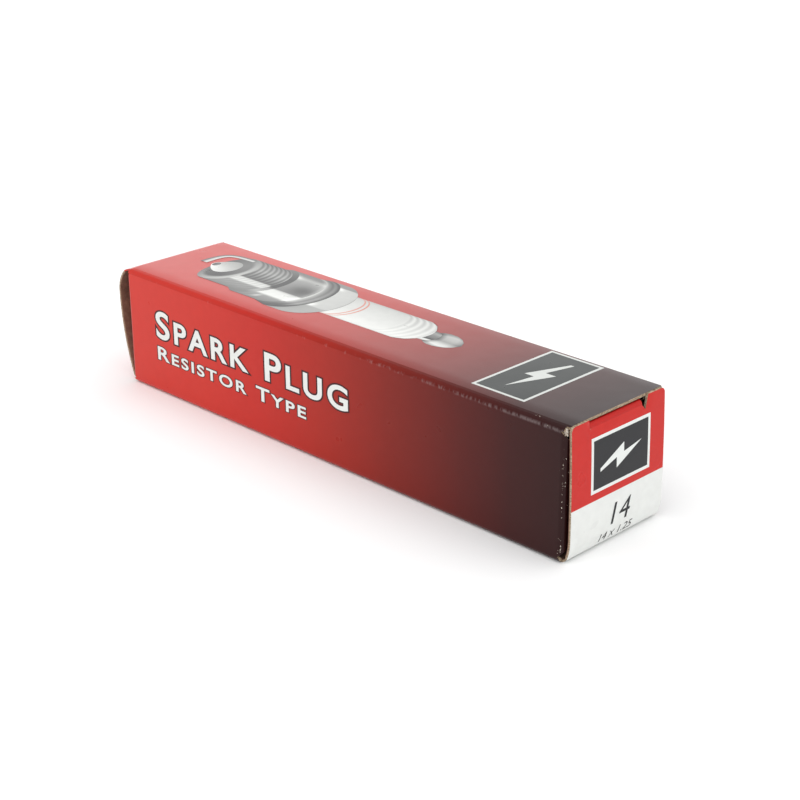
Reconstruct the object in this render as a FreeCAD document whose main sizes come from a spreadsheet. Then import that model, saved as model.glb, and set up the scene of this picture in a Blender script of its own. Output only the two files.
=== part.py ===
"""A boxed spark plug: a reverse-tuck paperboard carton, with the spark plug lying inside it.

Row frame: millimetres, +Z up, +X along the carton, -Y the front. The origin is under the carton's middle,
on the surface that it stands on. The right end's flap is creased to the bottom panel, and the left end's
flap to the top panel. The plug's terminal points to the left.
"""
import FreeCAD, Part
import math
import os
import Sketcher

Vector = FreeCAD.Vector
SHEET = "Sizes"

# The driving dimensions, in millimetres and degrees.
DIMENSIONS = {
    # carton: length between the end creases, depth and height over the outside
    "carton_length": 106.5,
    "carton_depth": 23.8,
    "carton_height": 22.6,
    "board": 0.45,
    "corner_radius": 0.9,
    "glue_thickness": 0.05,
    "glue_flap_width": 10.0,
    "glue_flap_setback": 4.8,
    "glue_flap_taper": 4.0,
    # creases: a flap's rounded edge turns in a gap at its panel's end
    "crease_gap": 0.05,
    "dust_setback": 0.3,
    # end flaps, seen in section: out from the crease line, and along the flap
    "closure_width": 22.6,
    "right_bow": 0.82,
    "right_bow_at": 3.4,
    "left_bow": 3.1,
    "left_bow_at": 5.0,
    "closure_lean": 0.33,
    "closure_top_clearance": 0.15,
    "slit_length": 4.2,
    "shoulder_height": 0.42,
    "tuck_length": 7.6,
    "tuck_width": 21.6,
    "tuck_corner": 3.0,
    "tuck_droop": 17.5,
    "tuck_gap": 0.1,
    "slit_gap": 0.12,
    "dust_length": 8.2,
    "dust_root": 1.2,
    "dust_root_far": 2.2,
    "dust_taper": 9.4,
    "dust_taper_far": 3.0,
    "dust_corner": 1.2,
    # the plug's place: its gasket seat along the carton, and the height of its axis
    "seat_at": 28.1,
    "axis_height": 10.75,
    # metal shell, radii and heights from the gasket seat towards the terminal
    "thread_radius": 7.0,
    "thread_reach": 19.0,
    "thread_chamfer": 0.7,
    "relief_radius": 6.2,
    "relief_length": 2.1,
    "flange_radius": 9.9,
    "flange_height": 2.4,
    "barrel_radius": 8.9,
    "barrel_top": 7.4,
    "neck_radius": 7.95,
    "neck_top": 9.4,
    "hex_flats": 16.0,
    "hex_top": 17.8,
    "hex_chamfer": 0.75,
    "crimp_radius": 7.7,
    "crimp_top": 19.6,
    "crimp_mouth": 5.45,
    "nose_bore": 4.2,
    "ledge_at": 7.6,
    "stem_bore": 4.9,
    "stem_bore_top": 4.2,
    "collar_bore": 7.0,
    "collar_bore_at": 6.2,
    "collar_bore_top": 17.9,
    # insulator
    "nose_tip": 21.5,
    "nose_tip_radius": 2.35,
    "nose_root": 7.0,
    "nose_root_radius": 3.6,
    "stem_radius": 4.8,
    "stem_top": 4.0,
    "collar_radius": 6.85,
    "collar_low": 6.1,
    "collar_top": 12.8,
    "insulator_radius": 5.25,
    "insulator_taper_at": 41.4,
    "insulator_top": 44.4,
    "insulator_top_radius": 3.9,
    "rib_first": 29.4,
    "rib_pitch": 2.5,
    "rib_count": 5.0,
    "rib_cutter_radius": 1.3,
    "rib_depth": 0.5,
    "nose_hole": 1.3,
    "core_hole": 2.1,
    "core_hole_from": 2.0,
    # electrodes
    "electrode_radius": 1.25,
    "electrode_tip": 23.0,
    "electrode_head_radius": 1.85,
    "electrode_head": 1.5,
    "copper_radius": 0.7,
    "copper_from": 20.5,
    "copper_to": 1.2,
    "spark_gap": 0.8,
    "ground_thickness": 1.35,
    "ground_width": 2.6,
    "ground_outer": 6.3,
    "ground_reach": 1.4,
    "ground_bend": 2.4,
    # the stack inside the insulator, heights from the seat
    "lower_seal_top": 4.5,
    "resistor_top": 13.5,
    "upper_seal_top": 19.0,
    "stud_socket": 16.0,
    "stud_tip_radius": 1.5,
    "stud_radius": 1.95,
    "stud_flange_radius": 3.3,
    "stud_flange": 0.7,
    "stud_thread_radius": 2.0,
    "stud_top": 51.6,
    # terminal nut
    "nut_clearance": 0.05,
    "nut_base_radius": 3.35,
    "nut_base": 2.1,
    "nut_neck_radius": 2.75,
    "nut_neck_top": 3.6,
    "nut_head_radius": 3.175,
    "nut_head_low": 4.1,
    "nut_head_top": 7.3,
    "nut_crown_radius": 1.7,
    "terminal_top": 53.0,
    # gasket, packing and the crimped powder seal
    "gasket_inner": 6.45,
    "gasket_outer": 9.7,
    "gasket_height": 1.9,
    "gasket_edge": 0.45,
    "packing_height": 0.5,
    "ring_height": 0.6,
    "talc_height": 3.6,
    "seal_inner": 5.25,
}


class Size:
    """A length that carries both its value and the spreadsheet expression that gives it."""

    def __init__(self, value, text):
        self.value = float(value)
        self.text = text

    @staticmethod
    def of(other):
        return other if isinstance(other, Size) else Size(other, f"{float(other):.6g}")

    def __add__(self, other):
        other = Size.of(other)
        return Size(self.value + other.value, f"({self.text} + {other.text})")

    def __sub__(self, other):
        other = Size.of(other)
        return Size(self.value - other.value, f"({self.text} - {other.text})")

    def __mul__(self, other):
        other = Size.of(other)
        return Size(self.value * other.value, f"({self.text} * {other.text})")

    def __truediv__(self, other):
        other = Size.of(other)
        return Size(self.value / other.value, f"({self.text} / {other.text})")

    def __rsub__(self, other):
        return Size.of(other) - self

    def __neg__(self):
        return Size(-self.value, f"(-{self.text})")

    __radd__ = __add__
    __rmul__ = __mul__


class Sizes:
    """The spreadsheet's cells, each as an attribute."""

    def __init__(self, dimensions):
        for name, value in dimensions.items():
            setattr(self, name, Size(value, f"{SHEET}.{name}"))


S = Sizes(DIMENSIONS)
doc = FreeCAD.newDocument("boxed_spark_plug")


def fill_sheet():
    sheet = doc.addObject("Spreadsheet::Sheet", SHEET)
    for row, (name, value) in enumerate(DIMENSIONS.items(), start=1):
        sheet.set(f"A{row}", name)
        sheet.set(f"B{row}", str(value))
        sheet.setAlias(f"B{row}", name)
    doc.recompute()


# ---- sketch and feature helpers ----


def origin_plane(body, role):
    return next(f for f in body.Origin.OriginFeatures if f.Role == role)


def new_body(label):
    body = doc.addObject("PartDesign::Body", label)
    body.Label = label
    return body


def new_sketch(body, role, lift=None):
    """A sketch on one of the body's own origin planes, moved along the plane's normal by lift."""
    sketch = body.newObject("Sketcher::SketchObject", f"{body.Name}_sketch")
    sketch.AttachmentSupport = (origin_plane(body, role), [""])
    sketch.MapMode = "FlatFace"
    if lift is not None:
        sketch.setExpression(".AttachmentOffset.Base.z", Size.of(lift).text)
    return sketch


def bind(sketch, index, size):
    name = f"c{index}"
    sketch.renameConstraint(index, name)
    sketch.setExpression(f"Constraints.{name}", size.text)


def pin_point(sketch, curve, end, x, y):
    """Holds one end of a curve at x, y of the sketch."""
    for axis, size, line in (("X", Size.of(x), -2), ("Y", Size.of(y), -1)):
        if abs(size.value) < 1e-9:
            sketch.addConstraint(Sketcher.Constraint("PointOnObject", curve, end, line))
        else:
            made = sketch.addConstraint(Sketcher.Constraint(f"Distance{axis}", curve, end, size.value))
            bind(sketch, made, size)


def arc_between(start, end, radius):
    """The short arc that turns anticlockwise from start to end."""
    chord = end - start
    half = chord.Length / 2
    side = Vector(chord.y, -chord.x, 0).normalize()
    centre = (start + end) / 2 - side * math.sqrt(radius * radius - half * half)
    return Part.Arc(start, centre + side * radius, end)


def outline(sketch, points):
    """A closed outline. A point is (x, y), reached by a straight line, or (x, y, radius, side), reached by an
    arc that bulges to that side of the way, "left" or "right"."""
    places = [Vector(Size.of(p[0]).value, Size.of(p[1]).value, 0) for p in points]
    ends = []
    for i, point in enumerate(points):
        start, finish = places[i - 1], places[i]
        if len(point) == 2:
            sketch.addGeometry(Part.LineSegment(start, finish), False)
        elif point[3] == "right":
            sketch.addGeometry(arc_between(start, finish, Size.of(point[2]).value), False)
        else:
            sketch.addGeometry(arc_between(finish, start, Size.of(point[2]).value), False)
        backward = len(point) > 2 and point[3] == "left"
        ends.append((2, 1) if backward else (1, 2))
    for i, point in enumerate(points):
        following = (i + 1) % len(points)
        join = Sketcher.Constraint("Coincident", i, ends[i][1], following, ends[following][0])
        sketch.addConstraint(join)
        pin_point(sketch, i, ends[i][1], point[0], point[1])
        if len(point) > 2:
            radius = Size.of(point[2])
            bind(sketch, sketch.addConstraint(Sketcher.Constraint("Radius", i, radius.value)), radius)


def circle(sketch, x, y, radius):
    radius = Size.of(radius)
    centre = Vector(Size.of(x).value, Size.of(y).value, 0)
    index = sketch.addGeometry(Part.Circle(centre, Vector(0, 0, 1), radius.value), False)
    pin_point(sketch, index, 3, x, y)
    bind(sketch, sketch.addConstraint(Sketcher.Constraint("Radius", index, radius.value)), radius)


def turned(body, points, cut=False):
    """A solid of revolution about the body's Z, or a cut of that shape. A point is (radius, height)."""
    sketch = new_sketch(body, "XZ_Plane")
    outline(sketch, points)
    doc.recompute()
    feature = body.newObject("PartDesign::Groove" if cut else "PartDesign::Revolution", "Turned")
    feature.Profile = sketch
    feature.ReferenceAxis = (sketch, ["V_Axis"])
    feature.Angle = 360
    doc.recompute()
    return feature


def padded(body, role, points, length, lift=None, midplane=False, kind="Pad"):
    """An outline pushed along its plane's normal, as a pad or a pocket."""
    sketch = new_sketch(body, role, lift)
    outline(sketch, points)
    doc.recompute()
    return push(body, sketch, length, midplane, kind)


def push(body, sketch, length, midplane=False, kind="Pad"):
    feature = body.newObject(f"PartDesign::{kind}", kind)
    feature.Profile = sketch
    feature.setExpression("Length", Size.of(length).text)
    feature.Midplane = midplane
    doc.recompute()
    return feature


def rod(body, role, x, y, radius, length, lift=None, midplane=False):
    sketch = new_sketch(body, role, lift)
    circle(sketch, x, y, radius)
    doc.recompute()
    return push(body, sketch, length, midplane)


def dress(body, feature, kind, chosen, size, amount="Radius"):
    """A Fillet or Chamfer of the edges whose middle the test chosen accepts."""
    names = [
        f"Edge{i}"
        for i, edge in enumerate(feature.Shape.Edges, start=1)
        if chosen(edge.CenterOfMass, edge)
    ]
    if not names:
        raise ValueError(f"{body.Label}: no edge to {kind}")
    made = body.newObject(f"PartDesign::{kind}", kind)
    made.Base = (feature, names)
    made.setExpression(amount, Size.of(size).text)
    doc.recompute()
    return made


def place(body, x=0, y=0, z=0, rotation=None):
    """Puts a body in the row frame."""
    if rotation is not None:
        body.Placement = FreeCAD.Placement(Vector(), rotation)
    for axis, size in (("x", x), ("y", y), ("z", z)):
        body.setExpression(f".Placement.Base.{axis}", Size.of(size).text)
    doc.recompute()


# ---- carton ----

HALF_BOARD = S.board / 2
SIDE = S.carton_depth / 2
PANEL_STOP = HALF_BOARD + S.crease_gap
# The left end bows out further than the right end, so the creases stand off centre, to the right.
CREASE_SHIFT = (S.left_bow - S.right_bow) / 2
RIGHT_END = CREASE_SHIFT + S.carton_length / 2
LEFT_END = CREASE_SHIFT - S.carton_length / 2
RIGHT_DUST = RIGHT_END - S.dust_setback
LEFT_DUST = LEFT_END + S.dust_setback
TUCK_AT = S.carton_height - S.board - S.closure_top_clearance - HALF_BOARD
CLOSURE_TALL = TUCK_AT - HALF_BOARD


def along_carton(body, low, high):
    """Turns a section that was padded along the body's Z into one that lies along X, from low to high."""
    place(body, low, 0, 0, FreeCAD.Rotation(Vector(1, 1, 1), 120))
    return high - low


def panel(label, section, low, high):
    """A long panel: its section (y, z) in the row frame, from x low to x high."""
    body = new_body(label)
    length = along_carton(body, low, high)
    padded(body, "XY_Plane", section, length)


def carton_panels():
    """The four long panels. The front and back panels carry the rounded long corners."""
    radius, board, top = S.corner_radius, S.board, S.carton_height
    inner = radius - board
    dust_low, dust_high = LEFT_DUST + PANEL_STOP, RIGHT_DUST - PANEL_STOP
    flat = [
        (-SIDE + radius, top - board),
        (SIDE - radius, top - board),
        (SIDE - radius, top),
        (-SIDE + radius, top),
    ]
    panel("top_panel", flat, LEFT_END + PANEL_STOP, RIGHT_END)
    lip = SIDE - S.glue_thickness
    flat = [(-SIDE + radius, 0), (lip, 0), (lip, board), (-SIDE + radius, board)]
    panel("bottom_panel", flat, LEFT_END, RIGHT_END - PANEL_STOP)
    front = [
        (-SIDE + radius, 0, radius, "right"),
        (-SIDE + radius, board),
        (-SIDE + board, radius, inner, "left"),
        (-SIDE + board, top - radius),
        (-SIDE + radius, top - board, inner, "left"),
        (-SIDE + radius, top),
        (-SIDE, top - radius, radius, "right"),
        (-SIDE, radius),
    ]
    panel("front_panel", front, dust_low, dust_high)
    low = board + S.glue_thickness
    back = [
        (SIDE - radius, low),
        (SIDE, low + radius, radius, "right"),
        (SIDE, top - radius),
        (SIDE - radius, top, radius, "right"),
        (SIDE - radius, top - board),
        (SIDE - board, top - radius, inner, "left"),
        (SIDE - board, low + radius),
        (SIDE - radius, low + board, inner, "left"),
    ]
    panel("back_panel", back, dust_low, dust_high)


def glue_seam():
    """The flap glued inside the bottom panel, and the bead of glue under it."""
    low = S.board + S.glue_thickness
    root = SIDE - S.corner_radius
    tip = SIDE - S.glue_flap_width
    half = S.carton_length / 2 - S.glue_flap_setback
    taper = half - S.glue_flap_taper
    plan = [(-half, root), (half, root), (taper, tip), (-taper, tip)]
    body = new_body("glue_flap")
    padded(body, "XY_Plane", plan, S.board)
    place(body, CREASE_SHIFT, 0, low)
    edge = S.slit_length / 4
    plan = [
        (-taper, root - edge),
        (taper, root - edge),
        (taper, tip + edge),
        (-taper, tip + edge),
    ]
    body = new_body("glue_bead")
    padded(body, "XY_Plane", plan, S.glue_thickness)
    place(body, CREASE_SHIFT, 0, S.board)


def closure(label, bow, bow_at):
    """An end flap in its own frame: crease along Y at the origin, outward along X, flap up Z. Its middle line is
    two arcs that meet upright at the bow. Its free edge ends in two shoulders, one each side of the tuck flap."""
    body = new_body(label)
    half, lean = HALF_BOARD, S.closure_lean
    tall = CLOSURE_TALL - HALF_BOARD - S.tuck_gap
    out, rise = bow - lean, tall - bow_at
    low_radius = (bow * bow + bow_at * bow_at) / (bow * 2)
    high_radius = (out * out + rise * rise) / (out * 2)
    low_x, low_z = half * (low_radius - bow) / low_radius, half * bow_at / low_radius
    high_x, high_z = half * (high_radius - out) / high_radius, half * rise / high_radius
    section = [
        (low_x, -low_z),
        (bow + half, bow_at, low_radius + half, "right"),
        (lean + high_x, tall + high_z, high_radius + half, "right"),
        (lean - high_x, tall - high_z),
        (bow - half, bow_at, high_radius - half, "left"),
        (-low_x, low_z, low_radius - half, "left"),
    ]
    padded(body, "XZ_Plane", section, S.closure_width, midplane=True)
    rod(body, "XZ_Plane", 0, 0, half, S.closure_width, midplane=True)
    root = S.closure_width / 2 - S.slit_length
    for low, high in ((root, S.closure_width / 2), (-S.closure_width / 2, -root)):
        shoulder = [
            (lean - half, low),
            (lean + half, low),
            (lean + half, high),
            (lean - half, high),
        ]
        padded(body, "XY_Plane", shoulder, S.shoulder_height + half, CLOSURE_TALL - half * 2)
    return body


def tuck(label):
    """A tuck flap in its own frame: crease along Y at the origin, flap towards -X, free corners rounded."""
    body = new_body(label)
    half = HALF_BOARD
    crease = S.closure_width / 2 - S.slit_length - S.slit_gap
    wide = S.tuck_width / 2
    slit = half + S.slit_gap * 3
    plan = [
        (0, -crease),
        (0, crease),
        (-slit, crease),
        (-slit, wide),
        (-S.tuck_length, wide),
        (-S.tuck_length, -wide),
        (-slit, -wide),
        (-slit, -crease),
    ]
    flap = padded(body, "XY_Plane", plan, S.board, midplane=True)
    corners = (
        lambda middle, edge: middle.x < -DIMENSIONS["tuck_length"] + 1e-3
        and abs(abs(middle.y) - DIMENSIONS["tuck_width"] / 2) < 1e-3
    )
    dress(body, flap, "Fillet", corners, S.tuck_corner)
    rod(body, "XZ_Plane", 0, 0, half, crease * 2, midplane=True)
    return body


def dust_flap(label, way):
    """A dust flap in its own frame: crease along Z at the origin, flap along +Y or -Y, as way is 1 or -1. It is
    cut at 45 degrees on the side of the end flap's crease, which is below."""
    body = new_body(label)
    low, high = S.dust_root, S.carton_height - S.dust_root_far
    tip = S.dust_length * way
    plan = [
        (0, low),
        (tip, S.dust_taper),
        (tip, S.carton_height - S.dust_taper_far),
        (0, high),
    ]
    flap = padded(body, "YZ_Plane", plan, S.board, midplane=True)
    corners = lambda middle, edge: abs(middle.y - tip.value) < 1e-3 and edge.Length < 1
    dress(body, flap, "Fillet", corners, S.dust_corner)
    rod(body, "XY_Plane", 0, 0, HALF_BOARD, high - low, lift=low)
    return body


FLIPPED = FreeCAD.Rotation(Vector(0, 1, 0), 180)


def end_flaps():
    height = S.carton_height
    droop = DIMENSIONS["tuck_droop"]
    place(closure("right_closure", S.right_bow, S.right_bow_at), RIGHT_END, 0, HALF_BOARD)
    left = closure("left_closure", S.left_bow, S.left_bow_at)
    place(left, LEFT_END, 0, height - HALF_BOARD, FLIPPED)
    tilt = FreeCAD.Rotation(Vector(0, 1, 0), -droop)
    place(tuck("right_tuck_flap"), RIGHT_END + S.closure_lean, 0, TUCK_AT, tilt)
    left = tuck("left_tuck_flap")
    place(left, LEFT_END - S.closure_lean, 0, height - TUCK_AT, FLIPPED.multiply(tilt))
    crease = SIDE - HALF_BOARD
    upside_down = FreeCAD.Rotation(Vector(1, 0, 0), 180)
    place(dust_flap("right_front_dust_flap", 1), RIGHT_DUST, -crease, 0)
    place(dust_flap("right_back_dust_flap", -1), RIGHT_DUST, crease, 0)
    place(dust_flap("left_front_dust_flap", -1), LEFT_DUST, -crease, height, upside_down)
    place(dust_flap("left_back_dust_flap", 1), LEFT_DUST, crease, height, upside_down)


# ---- spark plug ----
# Each piece is turned about its own Z, with the gasket seat at zero and the terminal upward. The whole
# stack then lies along the carton, with its terminal to the left.

LYING = FreeCAD.Rotation(Vector(0, 1, 0), -90)


def lay_down(body):
    place(body, S.seat_at, 0, S.axis_height, LYING)


def metal_shell():
    body = new_body("metal_shell")
    chamfer = S.thread_chamfer
    reach = S.thread_reach
    turned(
        body,
        [
            (0, -reach),
            (S.thread_radius - chamfer, -reach),
            (S.thread_radius, -reach + chamfer),
            (S.thread_radius, -S.relief_length),
            (S.relief_radius, -S.relief_length + 0.6),
            (S.relief_radius, 0),
            (S.flange_radius, 0),
            (S.flange_radius, S.flange_height - 0.5),
            (S.flange_radius - 0.5, S.flange_height),
            (S.barrel_radius, S.flange_height + 0.3),
            (S.barrel_radius, S.barrel_top - 0.6),
            (S.neck_radius, S.barrel_top),
            (S.neck_radius, S.neck_top),
            (S.hex_flats / 2 - 0.3, S.neck_top + 0.01),
            (S.hex_flats / 2 - 0.3, S.hex_top),
            (S.crimp_radius, S.hex_top + 0.01),
            (S.crimp_radius, S.crimp_top - 1.1),
            (S.crimp_radius - 1.1, S.crimp_top),
            (0, S.crimp_top),
        ],
    )
    add_hexagon(body)
    turned(
        body,
        [
            (0, -reach - 1),
            (S.nose_bore, -reach - 1),
            (S.nose_bore, -S.ledge_at),
            (S.stem_bore, -S.ledge_at),
            (S.stem_bore, S.stem_bore_top),
            (S.collar_bore, S.collar_bore_at),
            (S.collar_bore, S.collar_bore_top),
            (S.crimp_mouth, S.collar_bore_top + 0.6),
            (S.crimp_mouth, S.crimp_top + 1),
            (0, S.crimp_top + 1),
        ],
        cut=True,
    )
    lay_down(body)


def add_hexagon(body):
    """The spanner hexagon, with both of its rims turned to a chamfer."""
    corner = S.hex_flats / 2 / math.cos(math.pi / 6)
    corners = [
        (corner * math.cos(math.pi / 3 * i), corner * math.sin(math.pi / 3 * i)) for i in range(6)
    ]
    padded(body, "XY_Plane", corners, S.hex_top - S.neck_top, S.neck_top)
    flat, over = S.hex_flats / 2, corner + 1
    drop = S.hex_chamfer
    for rim, sign in ((S.neck_top, 1), (S.hex_top, -1)):
        turned(body, [(flat, rim), (over, rim), (over, rim + drop * sign)], cut=True)


def insulator():
    body = new_body("insulator")
    tip = S.nose_tip
    turned(
        body,
        [
            (S.nose_hole, -tip),
            (S.nose_tip_radius, -tip),
            (S.nose_root_radius, -S.nose_root),
            (S.stem_radius, -S.nose_root + S.packing_height),
            (S.stem_radius, S.stem_top),
            (S.collar_radius, S.collar_low),
            (S.collar_radius, S.collar_top),
            (S.insulator_radius, S.collar_top),
            (S.insulator_radius, S.insulator_taper_at),
            (S.insulator_top_radius, S.insulator_top),
            (S.core_hole, S.insulator_top),
            (S.core_hole, -S.core_hole_from),
            (S.nose_hole, -S.core_hole_from),
        ],
    )
    sketch = new_sketch(body, "XZ_Plane")
    out = S.insulator_radius + S.rib_cutter_radius - S.rib_depth
    circle(sketch, out, S.rib_first, S.rib_cutter_radius)
    doc.recompute()
    groove = body.newObject("PartDesign::Groove", "RibGroove")
    groove.Profile = sketch
    groove.ReferenceAxis = (sketch, ["V_Axis"])
    groove.Angle = 360
    doc.recompute()
    ribs = body.newObject("PartDesign::LinearPattern", "Ribs")
    ribs.Originals = [groove]
    ribs.Direction = (sketch, ["V_Axis"])
    ribs.setExpression("Length", (S.rib_pitch * (S.rib_count - 1)).text)
    ribs.Occurrences = int(DIMENSIONS["rib_count"])
    body.Tip = ribs
    doc.recompute()
    lay_down(body)


def center_electrode():
    """The nickel sheath, closed at its tip, with the head that sits on the step in the insulator."""
    body = new_body("center_electrode")
    shoulder = -S.core_hole_from
    turned(
        body,
        [
            (0, -S.electrode_tip),
            (S.electrode_radius - 0.15, -S.electrode_tip),
            (S.electrode_radius, -S.electrode_tip + 0.15),
            (S.electrode_radius, shoulder),
            (S.electrode_head_radius, shoulder),
            (S.electrode_head_radius, shoulder + S.electrode_head),
            (0, shoulder + S.electrode_head),
            (0, -S.copper_to),
            (S.copper_radius, -S.copper_to),
            (S.copper_radius, -S.copper_from),
            (0, -S.copper_from),
        ],
    )
    lay_down(body)


def copper_core():
    body = new_body("copper_core")
    turned(
        body,
        [
            (0, -S.copper_from),
            (S.copper_radius, -S.copper_from),
            (S.copper_radius, -S.copper_to),
            (0, -S.copper_to),
        ],
    )
    lay_down(body)


def ground_electrode():
    """The side wire, welded to the shell's end, bent over the centre electrode at the spark gap."""
    body = new_body("ground_electrode")
    root = -S.thread_reach
    inner = -S.electrode_tip - S.spark_gap
    outer = inner - S.ground_thickness
    side = S.ground_outer
    section = [
        (side, root),
        (side - S.ground_thickness, root),
        (side - S.ground_thickness, inner),
        (-S.ground_reach, inner),
        (-S.ground_reach, outer),
        (side, outer),
    ]
    wire = padded(body, "XZ_Plane", section, S.ground_width, midplane=True)
    out = lambda middle, edge: abs(middle.x - side.value) < 1e-3 and abs(middle.z - outer.value) < 1e-3
    wire = dress(body, wire, "Fillet", out, S.ground_bend)
    bend_in = side.value - DIMENSIONS["ground_thickness"]
    within = lambda middle, edge: abs(middle.x - bend_in) < 1e-3 and abs(middle.z - inner.value) < 1e-3
    dress(body, wire, "Fillet", within, S.ground_bend - S.ground_thickness)
    lay_down(body)


def ring(label, inner, outer, low, high):
    """A plain turned ring, or a disc where inner is zero."""
    body = new_body(label)
    turned(body, [(inner, low), (outer, low), (outer, high), (inner, high)])
    lay_down(body)


def core_stack():
    """What fills the insulator's bore above the centre electrode."""
    hole = S.core_hole
    head_top = -S.core_hole_from + S.electrode_head
    ring("lower_glass_seal", 0, hole, head_top, S.lower_seal_top)
    ring("resistor_element", 0, hole, S.lower_seal_top, S.resistor_top)
    body = new_body("upper_glass_seal")
    turned(
        body,
        [
            (0, S.resistor_top),
            (hole, S.resistor_top),
            (hole, S.upper_seal_top),
            (S.stud_tip_radius, S.upper_seal_top),
            (S.stud_tip_radius, S.stud_socket),
            (0, S.stud_socket),
        ],
    )
    lay_down(body)


def terminal_stud():
    body = new_body("terminal_stud")
    top = S.insulator_top
    turned(
        body,
        [
            (0, S.stud_socket),
            (S.stud_tip_radius, S.stud_socket),
            (S.stud_tip_radius, S.upper_seal_top),
            (S.stud_radius, S.upper_seal_top + 0.3),
            (S.stud_radius, top),
            (S.stud_flange_radius, top),
            (S.stud_flange_radius, top + S.stud_flange),
            (S.stud_thread_radius, top + S.stud_flange),
            (S.stud_thread_radius, S.stud_top - 0.4),
            (S.stud_thread_radius - 0.4, S.stud_top),
            (0, S.stud_top),
        ],
    )
    lay_down(body)


def terminal_nut():
    """The screw-on terminal nut, with the groove and the head that a plug cap clips over."""
    body = new_body("terminal_nut")
    seat = S.insulator_top + S.stud_flange + S.nut_clearance
    hole = S.stud_thread_radius + S.nut_clearance
    turned(
        body,
        [
            (hole, seat),
            (S.nut_base_radius, seat),
            (S.nut_base_radius, seat + S.nut_base),
            (S.nut_neck_radius, seat + S.nut_base + 0.5),
            (S.nut_neck_radius, seat + S.nut_neck_top),
            (S.nut_head_radius, seat + S.nut_head_low),
            (S.nut_head_radius, seat + S.nut_head_top),
            (S.nut_crown_radius, S.terminal_top),
            (0, S.terminal_top),
            (0, S.stud_top + S.nut_clearance * 2),
            (hole, S.stud_top + S.nut_clearance * 2),
        ],
    )
    lay_down(body)


def seat_gasket():
    """The folded steel washer, loose in the relief under the seat."""
    body = new_body("seat_gasket")
    high = -S.nut_clearance
    low = high - S.gasket_height
    edge = S.gasket_edge
    turned(
        body,
        [
            (S.gasket_inner, low + edge),
            (S.gasket_inner + edge, low),
            (S.gasket_outer - edge, low),
            (S.gasket_outer, low + edge),
            (S.gasket_outer, high - edge),
            (S.gasket_outer - edge, high),
            (S.gasket_inner + edge, high),
            (S.gasket_inner, high - edge),
        ],
    )
    lay_down(body)


def shell_seals():
    """The packing washer under the insulator's shoulder, and the powder seal under the crimped lip."""
    body = new_body("packing_washer")
    turned(
        body,
        [
            (S.nose_bore, -S.ledge_at),
            (S.stem_bore, -S.ledge_at),
            (S.stem_bore, -S.nose_root + S.packing_height),
            (S.stem_radius, -S.nose_root + S.packing_height),
            (S.nose_bore, -S.nose_root + S.packing_height / 4),
        ],
    )
    lay_down(body)
    first = S.collar_top
    second = first + S.ring_height
    third = second + S.talc_height
    outer = S.collar_bore
    ring("lower_seal_ring", S.seal_inner, outer, first, second)
    ring("talc_seal", S.seal_inner, outer, second, third)
    ring("upper_seal_ring", S.seal_inner, outer, third, third + S.ring_height)


def build():
    fill_sheet()
    carton_panels()
    glue_seam()
    end_flaps()
    metal_shell()
    insulator()
    center_electrode()
    copper_core()
    ground_electrode()
    core_stack()
    terminal_stud()
    terminal_nut()
    seat_gasket()
    shell_seals()
    doc.recompute()


def check_and_write():
    """Stops if any object failed, then writes each piece to parts/."""
    for thing in doc.Objects:
        if {"Invalid", "Error"} & set(thing.State):
            raise RuntimeError(f"{thing.Label} failed: {thing.State}")
    bodies = [thing for thing in doc.Objects if thing.isDerivedFrom("PartDesign::Body")]
    for body in bodies:
        shape = body.Shape
        if shape.isNull() or not shape.isValid() or not shape.Solids:
            raise RuntimeError(f"{body.Label} has no valid solid")
    os.makedirs("parts", exist_ok=True)
    for body in bodies:
        body.Shape.exportStep(f"parts/{body.Label}.step")
        box = body.Shape.BoundBox
        print(
            f"{body.Label:24s} solids {len(body.Shape.Solids)} volume {body.Shape.Volume:9.2f} "
            f"x {box.XMin:8.2f} {box.XMax:8.2f} y {box.YMin:7.2f} {box.YMax:7.2f} "
            f"z {box.ZMin:6.2f} {box.ZMax:6.2f}"
        )


build()
check_and_write()
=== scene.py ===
"""Looks for the boxed spark plug: the printed paperboard carton, its flaps, and the plug inside it.

Everything is in metres in the row frame. Lengths in the helpers below are given in millimetres and
scaled once.
"""
import math

import bmesh
import bpy
import numpy as np
from mathutils import Matrix, Vector


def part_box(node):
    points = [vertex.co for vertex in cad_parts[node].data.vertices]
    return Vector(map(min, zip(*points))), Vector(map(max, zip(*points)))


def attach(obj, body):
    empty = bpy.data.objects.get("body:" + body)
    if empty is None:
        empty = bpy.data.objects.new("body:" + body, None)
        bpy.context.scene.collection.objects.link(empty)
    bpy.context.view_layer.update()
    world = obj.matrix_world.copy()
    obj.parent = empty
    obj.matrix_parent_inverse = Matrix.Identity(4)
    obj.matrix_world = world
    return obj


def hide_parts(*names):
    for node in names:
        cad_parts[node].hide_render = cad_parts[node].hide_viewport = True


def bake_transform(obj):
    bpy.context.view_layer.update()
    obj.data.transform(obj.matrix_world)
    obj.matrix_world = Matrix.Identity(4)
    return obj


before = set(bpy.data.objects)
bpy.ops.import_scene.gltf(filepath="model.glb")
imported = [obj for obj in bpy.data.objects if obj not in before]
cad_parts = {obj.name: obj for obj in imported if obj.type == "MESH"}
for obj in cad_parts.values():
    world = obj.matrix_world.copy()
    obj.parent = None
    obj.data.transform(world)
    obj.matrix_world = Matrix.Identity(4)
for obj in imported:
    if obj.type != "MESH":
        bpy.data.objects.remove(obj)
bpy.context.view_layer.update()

MM = 0.001


def node_box(node):
    """A CAD node's lowest and highest corners, in millimetres."""
    low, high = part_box(node)
    return np.array(low) / MM, np.array(high) / MM


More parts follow.
